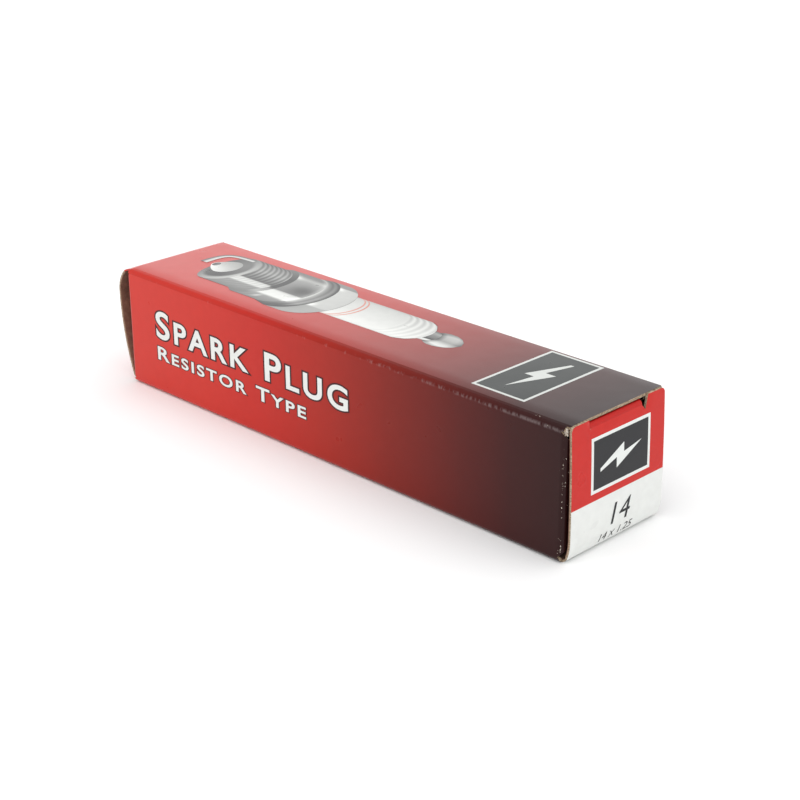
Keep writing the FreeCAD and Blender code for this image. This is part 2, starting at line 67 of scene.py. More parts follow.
# ---- carton sizes (mm): those of its panels are read from the CAD nodes ----
TOP_HIGH = node_box("top_panel")[1]
BOTTOM_LOW, BOTTOM_HIGH = node_box("bottom_panel")
FRONT_LOW = node_box("front_panel")[0]
BACK_LOW = node_box("back_panel")[0]
XL, XR = BOTTOM_LOW[0], TOP_HIGH[0]
SIDE = -FRONT_LOW[1]
HEIGHT = TOP_HIGH[2]
LENGTH = XR - XL
BOARD = 0.45
CORNER = 0.9
DUST_SETBACK = 0.3
CLOSURE_HALF = 11.3
SLIT = 4.2
TUCK_DROOP = math.radians(17.5)

# ---- plug sizes (mm), heights from the gasket seat towards the terminal ----
SHELL_LOW, SHELL_HIGH = node_box("metal_shell")
AXIS_Z = (SHELL_LOW[2] + SHELL_HIGH[2]) / 2
REACH = 19.0
PITCH = 1.25
SEAT_X = SHELL_HIGH[0] - REACH


# ---------------------------------------------------------------- mesh helpers


def link(obj):
    bpy.context.scene.collection.objects.link(obj)
    return obj


def mesh_object(name, verts_mm, faces, materials, indices=None, sharp_angle=35.0, colours=None):
    """A mesh piece from points in millimetres, smooth but for edges sharper than sharp_angle."""
    mesh = bpy.data.meshes.new(name)
    mesh.from_pydata([tuple(v) for v in np.asarray(verts_mm, float) * MM], [], faces)
    for material in materials:
        mesh.materials.append(material)
    if indices is not None:
        mesh.polygons.foreach_set("material_index", indices)
    mesh.polygons.foreach_set("use_smooth", [True] * len(mesh.polygons))
    if colours is not None:
        layer = mesh.color_attributes.new("Print", "FLOAT_COLOR", "POINT")
        layer.data.foreach_set("color", np.asarray(colours, np.float32).ravel())
    mark_sharp(mesh, sharp_angle)
    mesh.update()
    return link(bpy.data.objects.new(name, mesh))


def mark_sharp(mesh, angle):
    bm = bmesh.new()
    bm.from_mesh(mesh)
    limit = math.radians(angle)
    for edge in bm.edges:
        if len(edge.link_faces) == 2 and edge.calc_face_angle(0.0) > limit:
            edge.smooth = False
    bm.to_mesh(mesh)
    bm.free()


def grid_faces(rows, cols, offset=0, flip=False, wrap=False):
    faces = []
    last = cols if wrap else cols - 1
    for i in range(rows - 1):
        for j in range(last):
            k = (j + 1) % cols
            a, b = offset + i * cols + j, offset + i * cols + k
            c, d = offset + (i + 1) * cols + k, offset + (i + 1) * cols + j
            faces.append((d, c, b, a) if flip else (a, b, c, d))
    return faces


def surface_normals(grid):
    du = np.gradient(grid, axis=0)
    dv = np.gradient(grid, axis=1)
    normal = np.cross(du, dv)
    return normal / np.maximum(np.linalg.norm(normal, axis=2, keepdims=True), 1e-9)


def board_piece(name, grid, materials, open_rims=(), pinched=0.0):
    """Paperboard: grid (rows, cols, 3) is its printed surface, with its normals pointing out of the board's
    printed side. The back surface and the four raw edges are built, but for the rims named in open_rims.
    The die pinches the cut edges: pinched is the share of the board's thickness that the sides lose."""
    rows, cols = grid.shape[:2]
    thickness = np.full((rows, cols, 1), BOARD)
    thickness[:, [0, -1]] *= 1 - pinched
    back = grid - surface_normals(grid) * thickness
    count = rows * cols
    verts = np.concatenate([grid.reshape(-1, 3), back.reshape(-1, 3)])
    faces = grid_faces(rows, cols, flip=True) + grid_faces(rows, cols, count)
    indices = [0] * (len(faces) // 2) + [1] * (len(faces) // 2)
    rims = {
        "row_low": ([j for j in range(cols)], True),
        "row_high": ([(rows - 1) * cols + j for j in range(cols)], False),
        "col_low": ([i * cols for i in range(rows)], False),
        "col_high": ([i * cols + cols - 1 for i in range(rows)], True),
    }
    for key, (line, flip) in rims.items():
        if key in open_rims:
            continue
        for a, b in zip(line[:-1], line[1:]):
            face = (a, a + count, b + count, b)
            faces.append(face[::-1] if flip else face)
            indices.append(2)
    return mesh_object(name, verts, faces, materials, indices)


def hermite(p0, t0, p1, t1, count):
    """Points of a smooth curve from p0 to p1 with the given end tangents."""
    u = np.linspace(0, 1, count)[:, None]
    h00 = 2 * u**3 - 3 * u**2 + 1
    h10 = u**3 - 2 * u**2 + u
    h01 = -2 * u**3 + 3 * u**2
    h11 = u**3 - u**2
    return h00 * np.array(p0) + h10 * np.array(t0) + h01 * np.array(p1) + h11 * np.array(t1)


def arc(centre, radius, start, end, count):
    """Points of a circle's arc in a plane, angles in degrees."""
    angles = np.radians(np.linspace(start, end, count))
    return np.stack([centre[0] + radius * np.cos(angles), centre[1] + radius * np.sin(angles)], 1)


# ---------------------------------------------------------------- material helpers


class Nodes:
    """A short way to write a node tree."""

    def __init__(self, name):
        self.material = bpy.data.materials.new(name)
        self.material.use_nodes = True
        self.tree = self.material.node_tree
        self.tree.nodes.clear()
        self.out = self.tree.nodes.new("ShaderNodeOutputMaterial")
        self.bsdf = self.tree.nodes.new("ShaderNodeBsdfPrincipled")
        self.tree.links.new(self.bsdf.outputs[0], self.out.inputs[0])

    def node(self, kind, inputs=None, **settings):
        made = self.tree.nodes.new("ShaderNode" + kind)
        for key, value in settings.items():
            setattr(made, key, value)
        for key, value in (inputs or {}).items():
            self.feed(made.inputs[key], value)
        return made

    def feed(self, socket, value):
        if isinstance(value, bpy.types.NodeSocket):
            self.tree.links.new(value, socket)
        elif isinstance(value, bpy.types.Node):
            self.tree.links.new(value.outputs[0], socket)
        elif hasattr(socket.default_value, "__len__") and len(socket.default_value) == 4 and len(value) == 3:
            socket.default_value = (*value, 1.0)
        else:
            socket.default_value = value

    def set(self, **values):
        for key, value in values.items():
            self.feed(self.bsdf.inputs[key.replace("_", " ")], value)

    def coords(self):
        return self.node("TexCoord").outputs["Object"]

    def scaled(self, scale, vector=None):
        return self.node("Mapping", {"Vector": vector or self.coords(), "Scale": scale}).outputs[0]

    def noise(self, scale, detail=2.0, roughness=0.5, vector=None):
        made = self.node(
            "TexNoise",
            {"Vector": vector or self.coords(), "Scale": scale, "Detail": detail, "Roughness": roughness},
        )
        return made.outputs[0]

    def math(self, operation, a, b=0.0, clamp=False):
        return self.node("Math", {0: a, 1: b}, operation=operation, use_clamp=clamp).outputs[0]

    def ramp(self, factor, stops, interpolation="LINEAR"):
        made = self.node("ValToRGB", {0: factor})
        ramp = made.color_ramp
        ramp.interpolation = interpolation
        while len(ramp.elements) > 1:
            ramp.elements.remove(ramp.elements[-1])
        for i, (position, colour) in enumerate(stops):
            element = ramp.elements[0] if i == 0 else ramp.elements.new(position)
            element.position = position
            element.color = (*colour, 1.0) if len(colour) == 3 else colour
        return made.outputs[0]

    def mix(self, factor, a, b, blend="MIX"):
        made = self.node("MixRGB", {0: factor, 1: a, 2: b}, blend_type=blend)
        return made.outputs[0]

    def bump(self, height, strength, distance):
        made = self.node("Bump", {"Height": height, "Strength": strength, "Distance": distance})
        self.tree.links.new(made.outputs[0], self.bsdf.inputs["Normal"])
        return made


def grey(value):
    return (value, value, value)


def srgb(r, g, b):
    """Linear colour from 0 to 255 display values."""
    values = np.array([r, g, b]) / 255
    return tuple(np.where(values <= 0.04045, values / 12.92, ((values + 0.055) / 1.055) ** 2.4))


# ---------------------------------------------------------------- carton materials

# The ground colour fades from red to near black along the carton: places from 0 to 1, left to right.
PRINT_STOPS = [
    (0.00, srgb(197, 54, 45)),
    (0.20, srgb(193, 49, 39)),
    (0.35, srgb(183, 41, 33)),
    (0.50, srgb(160, 37, 26)),
    (0.65, srgb(123, 30, 21)),
    (0.80, srgb(84, 23, 19)),
    (0.90, srgb(57, 18, 17)),
    (1.00, srgb(42, 16, 16)),
]
# The same ground on the top panel, where the varnish is thicker. Its tones are a separate lit copy: greens
# and blues darker as painted shade, reds in the middle lighter as painted light.
TOP_LIT_STOPS = [
    (0.00, srgb(191, 51, 42)),
    (0.20, srgb(192, 46, 37)),
    (0.35, srgb(186, 40, 31)),
    (0.50, srgb(170, 37, 27)),
    (0.65, srgb(138, 29, 21)),
    (0.80, srgb(93, 23, 18)),
    (0.90, srgb(57, 17, 16)),
    (1.00, srgb(38, 15, 15)),
]


def spanned(m, value, low, high, to_low=0.0, to_high=1.0):
    """Maps a value from one range to another, and holds it beyond both ends."""
    ranges = {"From Min": low, "From Max": high, "To Min": to_low, "To Max": to_high}
    return m.node("MapRange", {"Value": value, **ranges}).outputs[0]


def shared(m, first, part, second, rest):
    """Two patterns added together, each by its share."""
    return m.math("ADD", m.math("MULTIPLY", first, part), m.math("MULTIPLY", second, rest))


def varnish(m, roughness=0.3, gloss=0.2, coat=0.0):
    """The varnished surface of the print: slightly wavy, and slightly uneven in its gloss."""
    m.bump(m.noise(140.0, 1.0, 0.4), 0.3, 0.00012)
    m.set(
        Roughness=m.math("ADD", m.math("MULTIPLY", m.noise(260.0, 2.0), 0.12), roughness - 0.06),
        IOR=1.45,
        Specular_IOR_Level=gloss,
    )
    m.set(Coat_Weight=coat, Coat_Roughness=0.15)


def scuffs(m, colour, x_from, density):
    """Pale specks where the print has worn off the board, more towards the right, and most along the right
    standing crease."""
    x = m.node("SeparateXYZ", {0: m.coords()}).outputs[0]
    fine = m.noise(2300.0, 4.0, 0.7)
    blotches = m.noise(420.0, 2.0, 0.5)
    rising = spanned(m, x, x_from * MM, XR * MM, 0.0, 0.09)
    amount = shared(m, fine, 0.62, blotches, 0.38)
    off = m.math("ABSOLUTE", m.math("SUBTRACT", x, WEAR_LINE * MM))
    line = spanned(m, off, 0.03 * MM, 0.1 * MM, 0.065, 0.0)
    rising = m.math("ADD", rising, line)
    worn = m.math("GREATER_THAN", m.math("ADD", amount, rising), density)
    return m.mix(worn, colour, srgb(206, 196, 182))


def rubbed(m, colour):
    """The long front crease is rubbed dull in short ticks, which grow into a grey band towards the right."""
    place = m.node("SeparateXYZ", {0: m.coords()})
    x, z = place.outputs[0], place.outputs[2]
    ticks = m.noise(1.0, 2.0, 0.6, m.scaled((2300.0, 60.0, 900.0)))
    blocks = m.noise(1.0, 1.0, 0.5, m.scaled((620.0, 60.0, 60.0)))
    grain = shared(m, ticks, 0.65, blocks, 0.35)
    rising = spanned(m, x, -20.0 * MM, XR * MM, -0.11, 0.1)
    off = m.math("ABSOLUTE", m.math("SUBTRACT", z, RUB_HEIGHT * MM))
    band = spanned(m, off, 0.1 * MM, 0.4 * MM, 1.0, 0.0)
    amount = spanned(m, m.math("ADD", grain, rising), 0.5, 0.64, 0.0, 0.13)
    return m.mix(m.math("MULTIPLY", amount, band), colour, srgb(214, 200, 200))


def print_colour(m, stops):
    x = m.node("SeparateXYZ", {0: m.coords()}).outputs[0]
    base = m.ramp(spanned(m, x, XL * MM, XR * MM), stops)
    mottle = m.ramp(m.noise(700.0, 2.0), [(0.3, grey(0.98)), (0.7, grey(1.02))])
    return m.mix(1.0, base, mottle, "MULTIPLY")


def print_material(name, worn_from=None, density=0.66, shade=1.0, gloss=0.2, coat=0.0, rub=False,
                   stops=PRINT_STOPS):
    m = Nodes(name)
    colour = m.mix(1.0, print_colour(m, stops), grey(shade), "MULTIPLY")
    if rub:
        colour = rubbed(m, colour)
    if worn_from is not None:
        colour = scuffs(m, colour, worn_from, density)
    m.set(Base_Color=colour)
    varnish(m, gloss=gloss, coat=coat)
    return m.material


def end_print_material(name, split, red=srgb(190, 38, 32)):
    """The end label: red above the height split, white below it."""
    m = Nodes(name)
    z = m.node("SeparateXYZ", {0: m.coords()}).outputs[2]
    above = spanned(m, z, (split - 0.03) * MM, (split + 0.03) * MM)
    mottle = m.ramp(m.noise(700.0, 2.0), [(0.3, grey(0.975)), (0.7, grey(1.02))])
    colour = m.mix(above, srgb(219, 221, 218), red)
    m.set(Base_Color=m.mix(1.0, colour, mottle, "MULTIPLY"))
    varnish(m)
    return m.material


def kraft_and_shade_material():
    m = Nodes("board_inside_shaded")
    fibres = m.noise(900.0, 4.0, 0.65, m.scaled((0.35, 1.0, 1.0)))
    patches = m.noise(160.0, 2.0)
    # The browns are the board's own kraft colour, darkened and warmed towards red as painted shade and
    # painted red bounce.
    browns_and_shade = [(0.35, srgb(110, 80, 66)), (0.55, srgb(140, 108, 90)), (0.72, srgb(160, 132, 112))]
    m.set(Base_Color=m.ramp(shared(m, fibres, 0.6, patches, 0.4), browns_and_shade), Roughness=0.9, IOR=1.4)
    m.bump(m.noise(2400.0, 4.0, 0.7), 0.6, 0.00006)
    return m.material


def raw_edge_material(name, tones):
    """Cut or torn board, from its dark layers to its pale ones."""
    m = Nodes(name)
    layers = m.noise(2600.0, 3.0, 0.6, m.scaled((1.0, 1.0, 3.0)))
    m.set(Base_Color=m.ramp(layers, list(zip((0.3, 0.5, 0.7), tones))), Roughness=0.92)
    m.bump(m.noise(5200.0, 4.0, 0.7), 0.8, 0.00008)
    return m.material


def ink_material(name, colour, roughness=0.3, gloss=0.2, coat=0.0):
    m = Nodes(name)
    mottle = m.ramp(m.noise(700.0, 2.0), [(0.25, grey(0.97)), (0.75, grey(1.02))])
    m.set(Base_Color=m.mix(1.0, colour, mottle, "MULTIPLY"))
    varnish(m, roughness, gloss, coat)
    return m.material


def picture_material():
    """The printed picture's inks, from the Print colours on its mesh."""
    m = Nodes("printed_picture")
    ink = m.node("VertexColor", layer_name="Print").outputs[0]
    grain = m.ramp(m.noise(700.0, 2.0), [(0.3, grey(0.97)), (0.7, grey(1.02))])
    m.set(Base_Color=m.mix(1.0, ink, grain, "MULTIPLY"))
    varnish(m, gloss=TOP_GLOSS, coat=TOP_COAT)
    return m.material


# The height of the rubbed band beside the long front crease.
RUB_HEIGHT = 21.72
# How far right the worn line down the right standing crease lies.
WEAR_LINE = XR - 0.5

# The top was varnished more heavily than the sides.
TOP_GLOSS, TOP_COAT = 0.5, 0.35
PRINT = print_material("printed_board")
PRINT_TOP = print_material("printed_board_top", gloss=TOP_GLOSS, coat=TOP_COAT, stops=TOP_LIT_STOPS)
# The front-top crease: rubbed and scuffed wear, and its print darkened by shade 0.88 as painted shade in the
# crease.
PRINT_WORN_SHADED = print_material(
    "printed_board_crease", worn_from=20.0, density=0.74, shade=0.88, gloss=0.12, rub=True
)
PRINT_RUBBED = print_material("printed_board_rubbed", rub=True)
# The end creases and dust flaps: worn specks, and print darkened by shade 0.9 as painted shade in the gaps at
# the ends.
PRINT_EDGE_SHADED = print_material("printed_board_end_crease", worn_from=-120.0, density=0.735, shade=0.9, gloss=0.2)
END_SPLIT = HEIGHT - 13.75
END_PRINT = end_print_material("printed_end_label", END_SPLIT)
# The right tuck flap's crease is a darker red: painted shade where the closure's middle draws in.
END_CREASE_SHADED = end_print_material("printed_end_crease_shaded", END_SPLIT, red=srgb(178, 30, 26))
KRAFT_AND_SHADE = kraft_and_shade_material()
RAW = raw_edge_material("board_raw_edge", [srgb(86, 72, 58), srgb(150, 130, 106), srgb(190, 174, 152)])
FIBRE = raw_edge_material("board_fibres", [srgb(120, 104, 90), srgb(190, 178, 164), srgb(224, 218, 208)])
WHITE_INK = ink_material("ink_white", srgb(220, 223, 220))
BLACK_INK = ink_material("ink_black", srgb(44, 44, 46))
OUTLINE_INK = ink_material("ink_outline", srgb(62, 24, 26))
# The top's white and black inks are darker copies of those on the sides: painted shade against the light that
# the glossy top reflects.
TOP_WHITE_INK_SHADED = ink_material("ink_white_top_shaded", srgb(206, 209, 205), gloss=TOP_GLOSS, coat=TOP_COAT)
TOP_BLACK_INK_SHADED = ink_material("ink_black_top_shaded", srgb(34, 40, 38), gloss=TOP_GLOSS, coat=TOP_COAT)
PICTURE = picture_material()


# ---------------------------------------------------------------- carton sleeve


def sleeve_section():
    """The folded sheet's outer line (y, z, panel), from the raw edge at the lower back corner, under, up the
    front, over the top, down the back and in to the glue flap."""
    lip = BOTTOM_HIGH[1]
    seam = BACK_LOW[2]
    flat = SIDE - CORNER
    edge = HEIGHT - CORNER
    points = []

    def add(path, panel):
        for y, z in path:
            points.append((y, z, panel))

    add([(y, 0.0) for y in np.linspace(lip, -flat, 24)], "bottom")
    add(arc((-flat, CORNER), CORNER, 270, 180, 9)[1:-1], "low_front")
    add([(-SIDE, z) for z in np.linspace(CORNER, edge, 24)[:-1]], "front")
    add([(-SIDE, edge)], "front_edge")
    front_rise, back_rise = top_face(-flat) - HEIGHT + CORNER, top_face(flat) - HEIGHT + CORNER
    turn = np.radians(np.linspace(0, 90, 11))[1:-1]
    add([(-flat - CORNER * math.cos(a), edge + front_rise * math.sin(a)) for a in turn], "high_front")
    top = [(y, float(top_face(y))) for y in np.linspace(-flat, flat, 45)]
    add(top[:2], "top_edge")
    add(top[2:], "top")
    add([(flat + CORNER * math.sin(a), edge + back_rise * math.cos(a)) for a in turn], "high_back")
    add([(SIDE, z) for z in np.linspace(edge, seam + CORNER, 24)], "back")
    add(arc((flat, seam + CORNER), CORNER, 0, -90, 9)[1:], "low_back")
    return points


# How far inside the crease line each region of the sleeve stops, at the left and the right end. The creases
# themselves are separate, curved strips.
CREASE = 0.7
ENDS = {
    "top": (CREASE, 0.0),
    "bottom": (0.0, CREASE),
    "top_edge": (CREASE, 0.0),
    "front": (DUST_SETBACK + CREASE, DUST_SETBACK + CREASE),
    "front_edge": (DUST_SETBACK + CREASE, DUST_SETBACK + CREASE),
    "back": (DUST_SETBACK + CREASE, DUST_SETBACK + CREASE),
    "low_front": (0.5, 0.6),
    "high_front": (0.6, 0.5),
    "high_back": (0.6, 0.5),
    "low_back": (0.6, 0.6),
}


# How deep the standing panels sink between their creases, as creased board does (mm).
SINK = {"front": 0.10, "back": 0.14}


def panel_sink(panel, along, across):
    """How far a standing panel sinks at a place, along and across it, each running from -1 to 1."""
    return SINK.get(panel, 0.0) * (1 - across**4) * (1 - along**8)


# The flat of the top panel lies this far below the carton's full height: the print lies on it in layers.
TOP_SET = 0.075
# How much further the top panel turns down at its front and back creases.
FRONT_DROP, BACK_DROP = 0.13, 0.03


def top_face(y):
    """The height of the top panel's printed face. It turns down towards its two creases."""
    front = np.clip((-y - 7.8) / 3.2, 0, 1)
    back = np.clip((y - 9.0) / 2.0, 0, 1)
    return HEIGHT - TOP_SET - FRONT_DROP * front**2 - BACK_DROP * back**2


def build_sleeve():
    section = sleeve_section()
    stations = np.linspace(-1, 1, 72)
    grid = np.zeros((len(stations), len(section), 3))
    inward = {"front": (0, 1, 0), "back": (0, -1, 0)}
    for j, (y, z, panel) in enumerate(section):
        left, right_end = ENDS[panel]
        low, high = XL + left, XR - right_end
        grid[:, j, 0] = low + (high - low) * (stations + 1) / 2
        grid[:, j, 1] = y
        grid[:, j, 2] = z
        if panel in inward:
            across = np.clip((z - HEIGHT / 2) / (HEIGHT / 2 - CORNER), -1, 1)
            grid[:, j] += panel_sink(panel, stations, across)[:, None] * np.array(inward[panel])
    piece = board_piece("carton_sleeve", grid, [PRINT, KRAFT_AND_SHADE, RAW, PRINT_WORN_SHADED, PRINT_TOP, PRINT_RUBBED])
    columns = len(section)
    # Which of those materials each region takes, where it is not the plain print.
    special = {"high_front": 3, "top_edge": 3, "top": 4, "front_edge": 5}
    for face in piece.data.polygons:
        j = min(v % columns for v in face.vertices)
        if face.material_index == 0:
            face.material_index = special.get(section[j + 1][2], 0)
    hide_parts("top_panel", "front_panel", "bottom_panel", "back_panel")
    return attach(piece, "carton")


build_sleeve()

# ---------------------------------------------------------------- end flaps

HALF = BOARD / 2
# How far out of its crease line a closure's top stands.
LEAN = 0.33
# The clearance between a tuck flap and the panel that it lies against.
TUCK_GAP = 0.15
TUCK_RISE = HEIGHT - BOARD - TUCK_GAP - HALF
CLOSURE_TALL = TUCK_RISE - HALF
CREASE_TOP = 20.75
SHOULDER_TOP = 22.25
SHOULDER_ROUND = 0.9
# The right closure's open notch: its two edges, its tip, and how low it reaches.
NOTCH_INNER, NOTCH_TIP, NOTCH_OUTER, NOTCH_LOW = 5.75, 6.45, 7.15, 19.9
# Half the width of a closed slit.
SLIT_HALF = 0.06
# How high a closure's crease strip reaches, and where the closure's middle begins to draw in.
ROOT_RISE, RELIEF_FROM = 0.7, 18.4
DUST_LENGTH = 8.2
DUST_ROUND = 0.925


def closure_out(rise, bow, bow_at):
    """How far a closure's printed face stands out of its crease, at a height from the crease."""
    rise = np.asarray(rise, float)
    low_radius = (bow**2 + bow_at**2) / (2 * bow)
    run, tall = bow - LEAN, CLOSURE_TALL - HALF - 0.1 - bow_at
    high_radius = (run**2 + tall**2) / (2 * run)
    low = bow - low_radius + np.sqrt(np.maximum((low_radius + HALF) ** 2 - (bow_at - rise) ** 2, 0))
    high = bow - high_radius + np.sqrt((high_radius + HALF) ** 2 - (rise - bow_at) ** 2)
    return np.where(rise < bow_at, low, high)


class End:
    """One end of the carton: where its closure is creased, and which way is out and which is along the
    flap."""

    def __init__(self, name, x, outward, hinge_z, upward, bow, bow_at, material):
        self.name, self.x, self.outward = name, x, outward
        self.hinge_z, self.upward = hinge_z, upward
        self.bow, self.bow_at, self.material = bow, bow_at, material

    def place(self, out, rise, y):
        """A point from its distance out of the crease line, its height from the crease, and y."""
        out, rise, y = np.broadcast_arrays(out, rise, y)
        return np.stack([self.x + self.outward * out, y, self.hinge_z + self.upward * rise], -1)

    def face(self, rise):
        return closure_out(rise, self.bow, self.bow_at)


RIGHT = End("right", XR, 1, HALF, 1, 0.79, 3.4, END_PRINT)
LEFT = End("left", XL, -1, HEIGHT - HALF, -1, 3.1, 5.0, PRINT)


def closure_outline(end):
    """Columns across a closure, and how high its board reaches at each: to its shoulders outside the two
    slits, and to the tuck flap's crease between them. At the right end the back slit has opened into a
    notch."""
    slit = CLOSURE_HALF - SLIT
    inner = NOTCH_INNER if end is RIGHT else slit - SLIT_HALF
    outer = NOTCH_OUTER if end is RIGHT else slit + SLIT_HALF
    corner = CLOSURE_HALF - SHOULDER_ROUND * (1 - np.sin(np.linspace(0, np.pi / 2, 8)))
    notch = [NOTCH_TIP] if end is RIGHT else []
    y = np.concatenate([
        corner[::-1],
        np.linspace(CLOSURE_HALF - SHOULDER_ROUND, outer, 6)[1:],
        notch,
        np.linspace(inner, -slit + SLIT_HALF, 25),
        np.linspace(-slit - SLIT_HALF, -CLOSURE_HALF + SHOULDER_ROUND, 6)[:-1],
        -corner,
    ])
    places = [-slit - SLIT_HALF, -slit + SLIT_HALF, inner] + notch + [outer]
    heights = [SHOULDER_TOP, CREASE_TOP, CREASE_TOP] + [NOTCH_LOW for _ in notch] + [SHOULDER_TOP]
    top = np.interp(y, places, heights)
    over = np.clip(np.abs(y) - CLOSURE_HALF + SHOULDER_ROUND, 0, SHOULDER_ROUND)
    return y, top - SHOULDER_ROUND + np.sqrt(SHOULDER_ROUND**2 - over**2)


def closure_relief(rise, y):
    """The closure's middle draws in a little where it turns over to the tuck flap."""
    high = np.clip((rise - RELIEF_FROM) / (CREASE_TOP - RELIEF_FROM), 0, 1) ** 2
    middle = np.clip((CLOSURE_HALF - SLIT + 1.0 - np.abs(y)) / 2.0, 0, 1)
    return -0.16 * high * middle * middle * (3 - 2 * middle)


def build_closure(end):
    y, top = closure_outline(end)
    t = np.linspace(0, 1, 46)[:, None]
    rise = ROOT_RISE + (top - ROOT_RISE) * t
    out = end.face(rise) + closure_relief(rise, y)
    grid = end.place(out, rise, y)
    materials = [end.material, KRAFT_AND_SHADE, RAW]
    piece = board_piece(f"{end.name}_closure_board", grid, materials, open_rims=("row_low",), pinched=0.35)
    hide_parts(f"{end.name}_closure")
    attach(piece, f"{end.name}_cover")


def crease_grid(path, y, end):
    """A strip whose section is a path of (out, rise) points, along the columns y."""
    path = np.asarray(path)
    return end.place(path[:, 0][:, None], path[:, 1][:, None], np.asarray(y)[None, :])


def build_closure_crease(end):
    """The rounded crease between the closure and its long panel."""
    rise, step = ROOT_RISE, 0.05
    slope = (end.face(rise + step) - end.face(rise)) / step
    columns = []
    for y in np.linspace(CLOSURE_HALF, -CLOSURE_HALF, 30):
        set_in = HEIGHT - top_face(y) if end is LEFT else 0.0
        path = hermite((-CREASE, set_in - HALF), (1.5, 0.0), (end.face(rise), rise), (slope * 1.1, 1.1), 10)
        columns.append(end.place(path[:, 0], path[:, 1], y))
    grid = np.stack(columns, 1)
    materials = [END_PRINT, KRAFT_AND_SHADE, RAW] if end is RIGHT else [PRINT_TOP, KRAFT_AND_SHADE, PRINT_EDGE_SHADED]
    rims = ("row_low", "row_high")
    piece = board_piece(f"{end.name}_closure_crease", grid, materials, rims, pinched=0.35)
    start = Vector(end.place(-CREASE, -HALF, 0.0)) * MM
    finish = Vector(end.place(end.face(rise), rise, 0.0)) * MM
    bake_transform(piece)


def tuck_path(s):
    """The tuck flap's printed face, (out, rise), at a distance s from its crease."""
    s = np.asarray(s, float)
    out = LEAN - s * math.cos(TUCK_DROOP) - HALF * math.sin(TUCK_DROOP)
    rise = CLOSURE_TALL - s * math.sin(TUCK_DROOP) + HALF * math.cos(TUCK_DROOP)
    return np.stack([out, rise], -1)


def build_tuck(end):
    """A tuck flap, with rounded corners, and the curved crease that joins it to its closure."""
    start, length, corner, half_width = 0.75, 7.6, 3.0, 10.8
    turn = length - corner * (1 - np.sin(np.linspace(0, np.pi / 2, 10)))
    s = np.concatenate([np.linspace(start, length - corner, 10)[:-1], turn])
    crease_half = CLOSURE_HALF - SLIT - 2 * SLIT_HALF
    wide = half_width - corner + np.sqrt(np.maximum(corner**2 - np.maximum(s - length + corner, 0) ** 2, 0))
    wide = np.minimum(wide, crease_half + (s - start) * 18 + 0.02)
    columns = np.linspace(1, -1, 27)
    crease_y = np.linspace(NOTCH_INNER if end is RIGHT else crease_half, -crease_half, 27)
    path = tuck_path(s)
    grid = end.place(path[:, 0][:, None], path[:, 1][:, None], wide[:, None] * columns[None, :])
    piece = board_piece(f"{end.name}_tuck_board", grid, [PRINT, KRAFT_AND_SHADE, RAW], open_rims=("row_low",))
    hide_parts(f"{end.name}_tuck_flap")
    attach(piece, f"{end.name}_tuck")
    first = np.array((end.face(CREASE_TOP) + closure_relief(CREASE_TOP, 0.0), CREASE_TOP))
    last = path[0]
    bend = hermite(first, (0.0, 1.5), last, (-1.5 * math.cos(TUCK_DROOP), -1.5 * math.sin(TUCK_DROOP)), 12)
    # At the right end the crease takes the darker red: painted shade.
    material = END_CREASE_SHADED if end is RIGHT else PRINT
    rims = ("row_low", "row_high")
    grid = crease_grid(bend, crease_y, end)
    piece = board_piece(f"{end.name}_tuck_crease", grid, [material, KRAFT_AND_SHADE, RAW], rims)
    a = Vector(end.place(first[0], first[1], 0.0)) * MM
    b = Vector(end.place(last[0], last[1], 0.0)) * MM
    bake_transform(piece)


def build_dust(end, side, label):
    """A dust flap, cut at 45 degrees beside the closure's crease, and the rounded crease that joins it on."""
    low_gap, high_gap, tip_round, taper = 1.2, 2.2, 1.2, 0.8
    low_root, high_root = low_gap - HALF, HEIGHT - high_gap - HALF
    turn = DUST_LENGTH - tip_round * (1 - np.sin(np.linspace(0, np.pi / 2, 7)))
    reach = np.concatenate([np.linspace(DUST_ROUND, DUST_LENGTH - tip_round, 9)[:-1], turn])
    past = np.maximum(reach - DUST_LENGTH + tip_round, 0)
    nick = tip_round - np.sqrt(np.maximum(tip_round**2 - past**2, 0))
    low = low_root + reach + nick
    high = high_root - reach * (taper / DUST_LENGTH) - nick
    t = np.linspace(0, 1, 18)[None, :]
    if side * end.outward * end.upward > 0:
        t = t[:, ::-1]
    rise = low[:, None] + (high - low)[:, None] * t
    y = side * (SIDE - reach[:, None])
    out = np.full_like(rise, -DUST_SETBACK + HALF)
    grid = end.place(out, rise, y + 0 * rise)
    # The dust flap and its crease take the darkened end print: painted shade.
    materials = [PRINT_EDGE_SHADED, KRAFT_AND_SHADE, RAW]
    piece = board_piece(f"{end.name}_{label}_dust_board", grid, materials, open_rims=("row_low",))
    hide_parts(f"{end.name}_{label}_dust_flap")
    body = f"{end.name}_{label}_dust"
    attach(piece, body)
    angle = np.linspace(0, np.pi / 2, 10)
    bend_out = -DUST_SETBACK - CREASE + DUST_ROUND * np.sin(angle)
    bend_y = side * (SIDE - DUST_ROUND * (1 - np.cos(angle)))
    share = (angle / (np.pi / 2))[:, None]
    rise_low = (CORNER - HALF) * (1 - share) + low[0] * share
    rise_high = (HEIGHT - CORNER - HALF) * (1 - share) + high[0] * share
    rise = rise_low + (rise_high - rise_low) * t
    grid = end.place(bend_out[:, None], rise, bend_y[:, None])
    piece = board_piece(f"{body}_crease", grid, materials, open_rims=("row_low", "row_high"))
    a = Vector(end.place(bend_out[0], 10.0, bend_y[0])) * MM
    b = Vector(end.place(bend_out[-1], 10.0, bend_y[-1])) * MM
    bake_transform(piece)


for end in (RIGHT, LEFT):
    build_closure(end)
    build_closure_crease(end)
    build_tuck(end)
    build_dust(end, -1, "front")
    build_dust(end, 1, "back")


